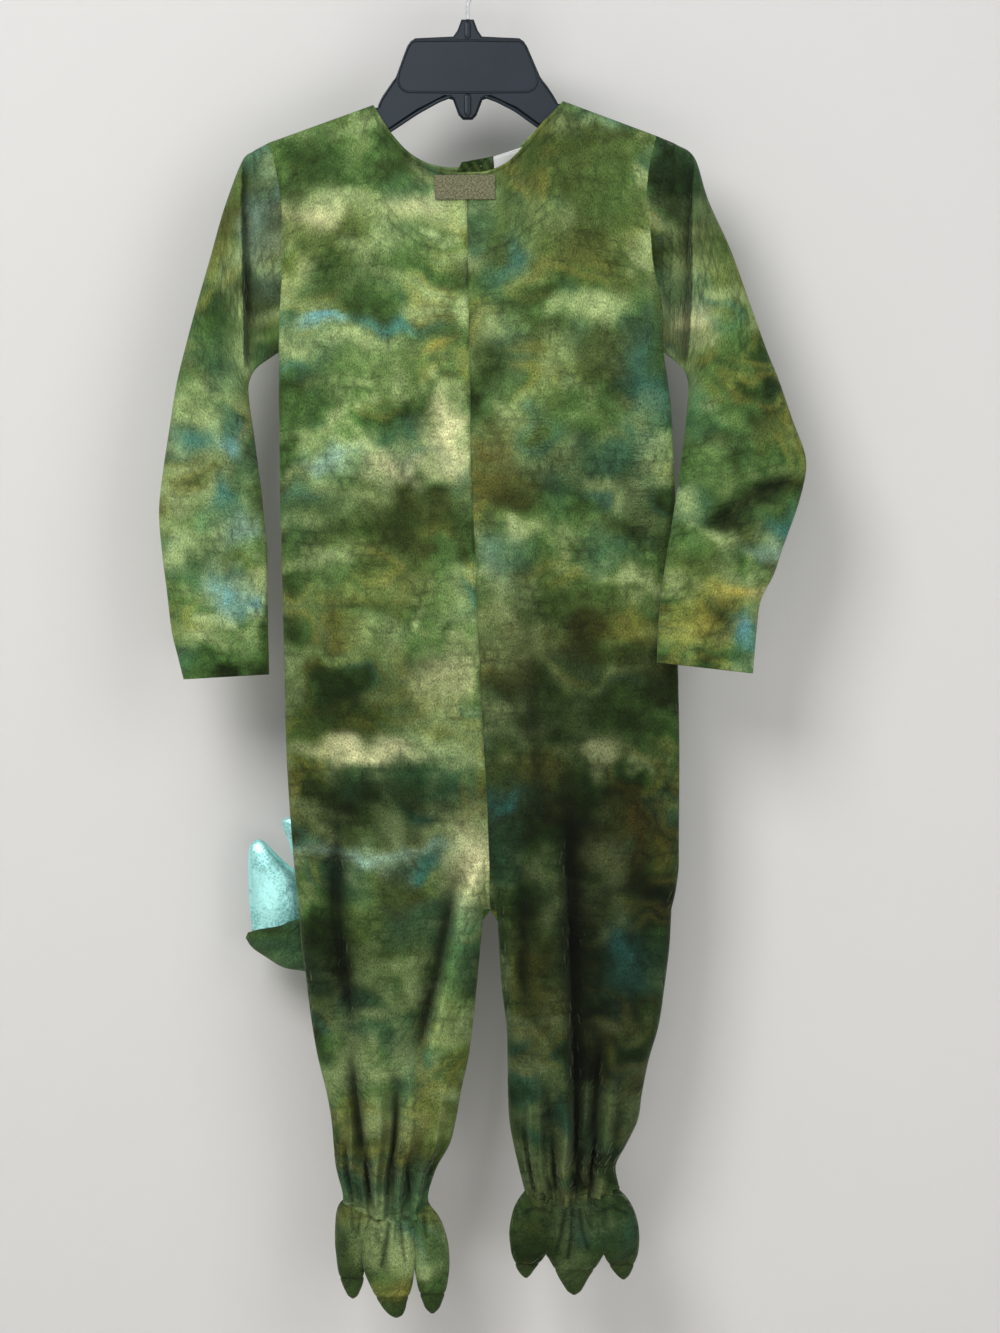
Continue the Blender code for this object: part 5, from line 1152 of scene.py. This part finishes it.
# pieces sewn on at the neck: corners (x, z) from upper left going round, how far proud of the cloth (negative is
# inside the suit), thickness, and how far in from the edge the stitches run
neckPieces = {
    "neck_patch": {"corners": ((-27.2, -197.4), (24.6, -196.8), (24.4, -218.0), (-26.6, -218.4)), "face": "front",
                   "proud": 2.3, "wall": 1.3, "stitch": 2.2, "material": loopTape, "slot": "hook_tape"},
    "back_tab": {"corners": ((-4.5, -181.0), (22.3, -175.9), (23.6, -188.4), (-10.4, -192.6)), "face": "back",
                 "proud": -2.4, "wall": 2.4, "stitch": 2.0, "folded": 2.0, "slack": 1.9, "material": velourPrint,
                 "slot": "plush_green"},
    "neck_label": {"corners": ((22.9, -176.4), (48.6, -168.3), (49.3, -184.0), (23.4, -187.8)), "face": "back",
                   "proud": -2.2, "wall": 0.5, "stitch": 1.4, "material": satin, "slot": "label_white"},
}


# the panel's own points between four corners, moved out; the rim is pressed down and a stitch line is sunk
def neckPieceGrid(part):
    a, b, c, d = (np.array(p) for p in part["corners"])
    s, t = np.meshgrid(crowded(64, 0.5), crowded(36, 0.5))
    flat = (a * (1 - s)[..., None] + b * s[..., None]) * (1 - t)[..., None]
    flat = flat + (d * (1 - s)[..., None] + c * s[..., None]) * t[..., None]
    x, z = flat[..., 0], flat[..., 1]
    depth = np.where(x < 0.0, *[clothDepth(x, z, side, part["face"]) for side in ("left", "right")])
    rim = np.minimum(np.minimum(s, 1 - s) * np.linalg.norm(b - a), np.minimum(t, 1 - t) * np.linalg.norm(d - a))
    lift = abs(part["proud"]) - 0.8 * np.exp(-((rim / 0.7) ** 2))
    lift = lift - 0.35 * np.exp(-(((rim - part["stitch"]) / 0.45) ** 2))
    slack = part.get("slack", 0.5)
    lift = lift + slack * (cloud(x + 90, z + 400, 7.0, 95) - 0.5) + 0.4 * (slack - 0.5) * np.sin(0.75 * x + 0.5 * z)
    sign = -1.0 if part["face"] == "front" else 1.0
    y = sign * (depth + lift) if part["proud"] > 0 else sign * (depth - lift)
    return np.stack([x, y, z], axis=-1)


for name, part in neckPieces.items():
    grid = neckPieceGrid(part)
    x, z = grid[..., 0], grid[..., 2]
    # darker overall, with painted highlight and shade along the same wave as the back tab's wrinkles
    dyeAndShade = dyeAndShadowAt(x, z, name, dyeSeed["neck"]) * (0.36 + 0.14 * np.sin(0.75 * x + 0.5 * z))[..., None]
    piece = gridPiece(f"{name}_sewn", grid, part["material"], dyeAndShade, wall=part["wall"])
    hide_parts(name)
    a, b, c, d = part["corners"]
print("neck pieces made")

# Hanger: the plate is the CAD node with its finish; the field's border, the rims and the ribs lie on its face.
# Each bead: width, height, squareness of its section (1 is a half round, 0.3 nearly flat), x z points.
hangerFace = -3.3
beads = {
    "hanger_field_border": (1.9, 1.1, 1.0, (
        (-45.0, -80.2), (-49.4, -83.6), (-53.0, -93.0), (-58.0, -107.0), (-58.8, -114.5), (-56.5, -120.6),
        (-51.5, -123.7), (0.0, -124.2), (53.0, -123.7), (58.0, -120.6), (60.6, -114.5), (59.8, -107.0),
        (54.2, -93.0), (50.2, -83.6), (46.0, -80.2), (0.0, -79.6), (-45.0, -80.2))),
    "hanger_rim_left": (3.0, 1.6, 1.0, (
        (-12.5, -127.0), (-24.0, -131.5), (-42.0, -141.5), (-66.0, -157.4), (-92.0, -164.2), (-123.0, -167.0))),
    "hanger_rim_right": (3.0, 1.6, 1.0, (
        (14.2, -127.0), (26.0, -131.2), (42.0, -139.5), (61.0, -153.2), (90.0, -159.4), (120.0, -160.5))),
    "hanger_edge_left": (2.0, 1.2, 1.0, ((-60.6, -112.5), (-66.0, -120.5), (-71.8, -129.0), (-75.4, -137.0))),
    "hanger_edge_right": (2.0, 1.2, 1.0, ((62.6, -112.5), (67.8, -118.8), (73.2, -126.8), (77.4, -134.2))),
    "hanger_tab_rib": (5.6, 1.8, 0.3, ((0.8, -125.0), (0.8, -144.5))),
    "hanger_neck_rib": (5.0, 1.6, 0.3, ((0.8, -63.0), (0.8, -78.5))),
}


# a bead carried along a path on the plate's face; its ends are tapered unless they meet
def beadPiece(name, wide, high, power, points):
    path = np.array(points)
    closed = points[0] == points[-1]
    chord = np.concatenate([[0.0], np.cumsum(np.linalg.norm(np.diff(path, axis=0), axis=1))])
    t = np.linspace(0.0, chord[-1], max(int(chord[-1] / 1.2), 12))
    flat = np.stack([np.interp(t, chord, path[:, 0]), np.interp(t, chord, path[:, 1])], axis=-1)
    for _ in range(3):  # soften the corners
        flat[1:-1] = 0.25 * flat[:-2] + 0.5 * flat[1:-1] + 0.25 * flat[2:]
    along = np.gradient(flat, axis=0)
    if closed:
        along[0] = along[-1] = flat[1] - flat[-2]
    along = along / np.linalg.norm(along, axis=1)[:, None]
    across = np.stack([-along[:, 1], along[:, 0]], axis=-1)
    ends = np.ones(len(t)) if closed else ease(t / 2.0) * ease((t[-1] - t) / 2.0) * 0.7 + 0.3
    angle = np.linspace(0.0, math.pi, 11)
    side = 0.5 * wide * np.cos(angle)[None] * ends[:, None]
    y = hangerFace + 0.15 - (high * np.sin(angle)[None] ** power + 0.15) * ends[:, None]
    grid = np.stack([flat[:, :1] + across[:, :1] * side, y, flat[:, 1:] + across[:, 1:] * side], axis=-1)
    a, b, d = grid[0, 4], grid[1, 4], grid[0, 5]
    flip = float(np.cross(b - a, d - a)[1]) > 0.0
    piece = gridPiece(name, grid, blackPlastic, flip=flip)


for name, bead in beads.items():
    beadPiece(name, *bead)
for name, material in (("hanger_body", blackPlastic), ("hanger_hook", zincWire)):
    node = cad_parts[name]
    for i in range(len(node.material_slots)):
        node.material_slots[i].material = material
print("hanger dressed")

# Stage: a pale painted wall just behind and a pale floor below, four corners each. Soft light comes from the upper
# left, weaker light from the right and from below, and two lamps stand behind the wall for views from the back:
# place, target, width and height, watts, colour.
wallY, floorZ = 0.104, -1.33
stagePlanes = {
    "wall": ("matt_wall_paint", "#dddcda",
             ((-4, wallY, floorZ), (4, wallY, floorZ), (4, wallY, 2.5), (-4, wallY, 2.5))),
    "floor": ("pale_floor", "#d6d3cc",
              ((-4, -5, floorZ), (4, -5, floorZ), (4, wallY, floorZ), (-4, wallY, floorZ))),
}
lights = {
    "window_left": ((-0.95, -2.1, 0.75), (0.0, 0.0, -0.5), (1.1, 1.2), 39.0, (1.0, 0.992, 0.985)),
    "fill_right": ((1.5, -2.3, 0.2), (0.1, 0.0, -0.5), (1.3, 1.6), 15.0, (0.98, 0.99, 1.0)),
    "fill_low": ((0.35, -2.2, -1.1), (0.0, 0.0, -1.05), (1.8, 0.6), 10.0, (1.0, 0.99, 0.98)),
    "back_left": ((-1.4, 1.9, 0.4), (0.0, 0.0, -0.6), (1.4, 1.4), 26.0, (1.0, 1.0, 1.0)),
    "back_right": ((1.5, 1.7, -0.2), (0.0, 0.0, -0.6), (1.4, 1.4), 20.0, (1.0, 1.0, 1.0)),
}
room = {"tint": (0.93, 0.95, 1.0, 1.0), "strength": 0.27}


def paintMaterial(name, colour):
    material, tree = newMaterial(name)
    place = addNode(tree, "TexCoord")
    roller = addNode(tree, "TexNoise", {"Scale": 160.0, "Detail": 4.0}, {"Vector": place.outputs["Object"]})
    bump = addNode(tree, "Bump", {"Strength": 0.12, "Distance": 0.0006}, {"Height": roller})
    paint = addNode(tree, "BsdfPrincipled",
                    {"Base Color": (*linear(colour), 1.0), "Roughness": 0.75, "Specular IOR Level": 0.25},
                    {"Normal": bump})
    # the back of the wall lets the camera and the light through, so the part can be looked at from behind
    side = addNode(tree, "NewGeometry")
    clear = addNode(tree, "BsdfTransparent")
    mix = addNode(tree, "MixShader", None,
                  {0: side.outputs["Backfacing"], 1: paint, 2: clear})
    addNode(tree, "OutputMaterial", None, {"Surface": mix})
    return material


for name, (paint, colour, corners) in stagePlanes.items():
    mesh = bpy.data.meshes.new(name)
    mesh.from_pydata(corners, [], [(0, 1, 2, 3)])
    mesh.materials.append(paintMaterial(paint, colour))
    plane = bpy.data.objects.new(name, mesh)
    bpy.context.scene.collection.objects.link(plane)

for name, (place, target, size, watts, colour) in lights.items():
    data = bpy.data.lights.new(name, "AREA")
    data.shape, data.size, data.size_y = "RECTANGLE", *size
    data.energy, data.color = watts, colour
    lamp = bpy.data.objects.new(name, data)
    lamp.location = place
    ax, ay, az = (p - t for p, t in zip(place, target))
    lamp.rotation_euler = (math.atan2(math.hypot(ax, ay), az), 0.0, math.atan2(ax, -ay))
    bpy.context.scene.collection.objects.link(lamp)

world = bpy.data.worlds.new("soft_room")
world.use_nodes = True
background = world.node_tree.nodes["Background"]
background.inputs["Color"].default_value = room["tint"]
background.inputs["Strength"].default_value = room["strength"]
bpy.context.scene.world = world
bpy.context.scene.view_settings.view_transform = "Standard"

# the camera is level, straight on, and takes in 1.140 m from top to bottom at the costume
view = {"away": 3.0, "x": 0.0285, "z": -0.6146, "high": 1.1401}
camera = bpy.data.cameras.new("camera")
camera.sensor_width = 36.0
camera.lens = 36.0 * view["away"] / view["high"]
cameraObject = bpy.data.objects.new("camera", camera)
cameraObject.location = (view["x"], -view["away"], view["z"])
cameraObject.rotation_euler = (math.radians(90.0), 0.0, 0.0)
bpy.context.scene.collection.objects.link(cameraObject)
bpy.context.scene.camera = cameraObject
print("stage, lights and camera set")
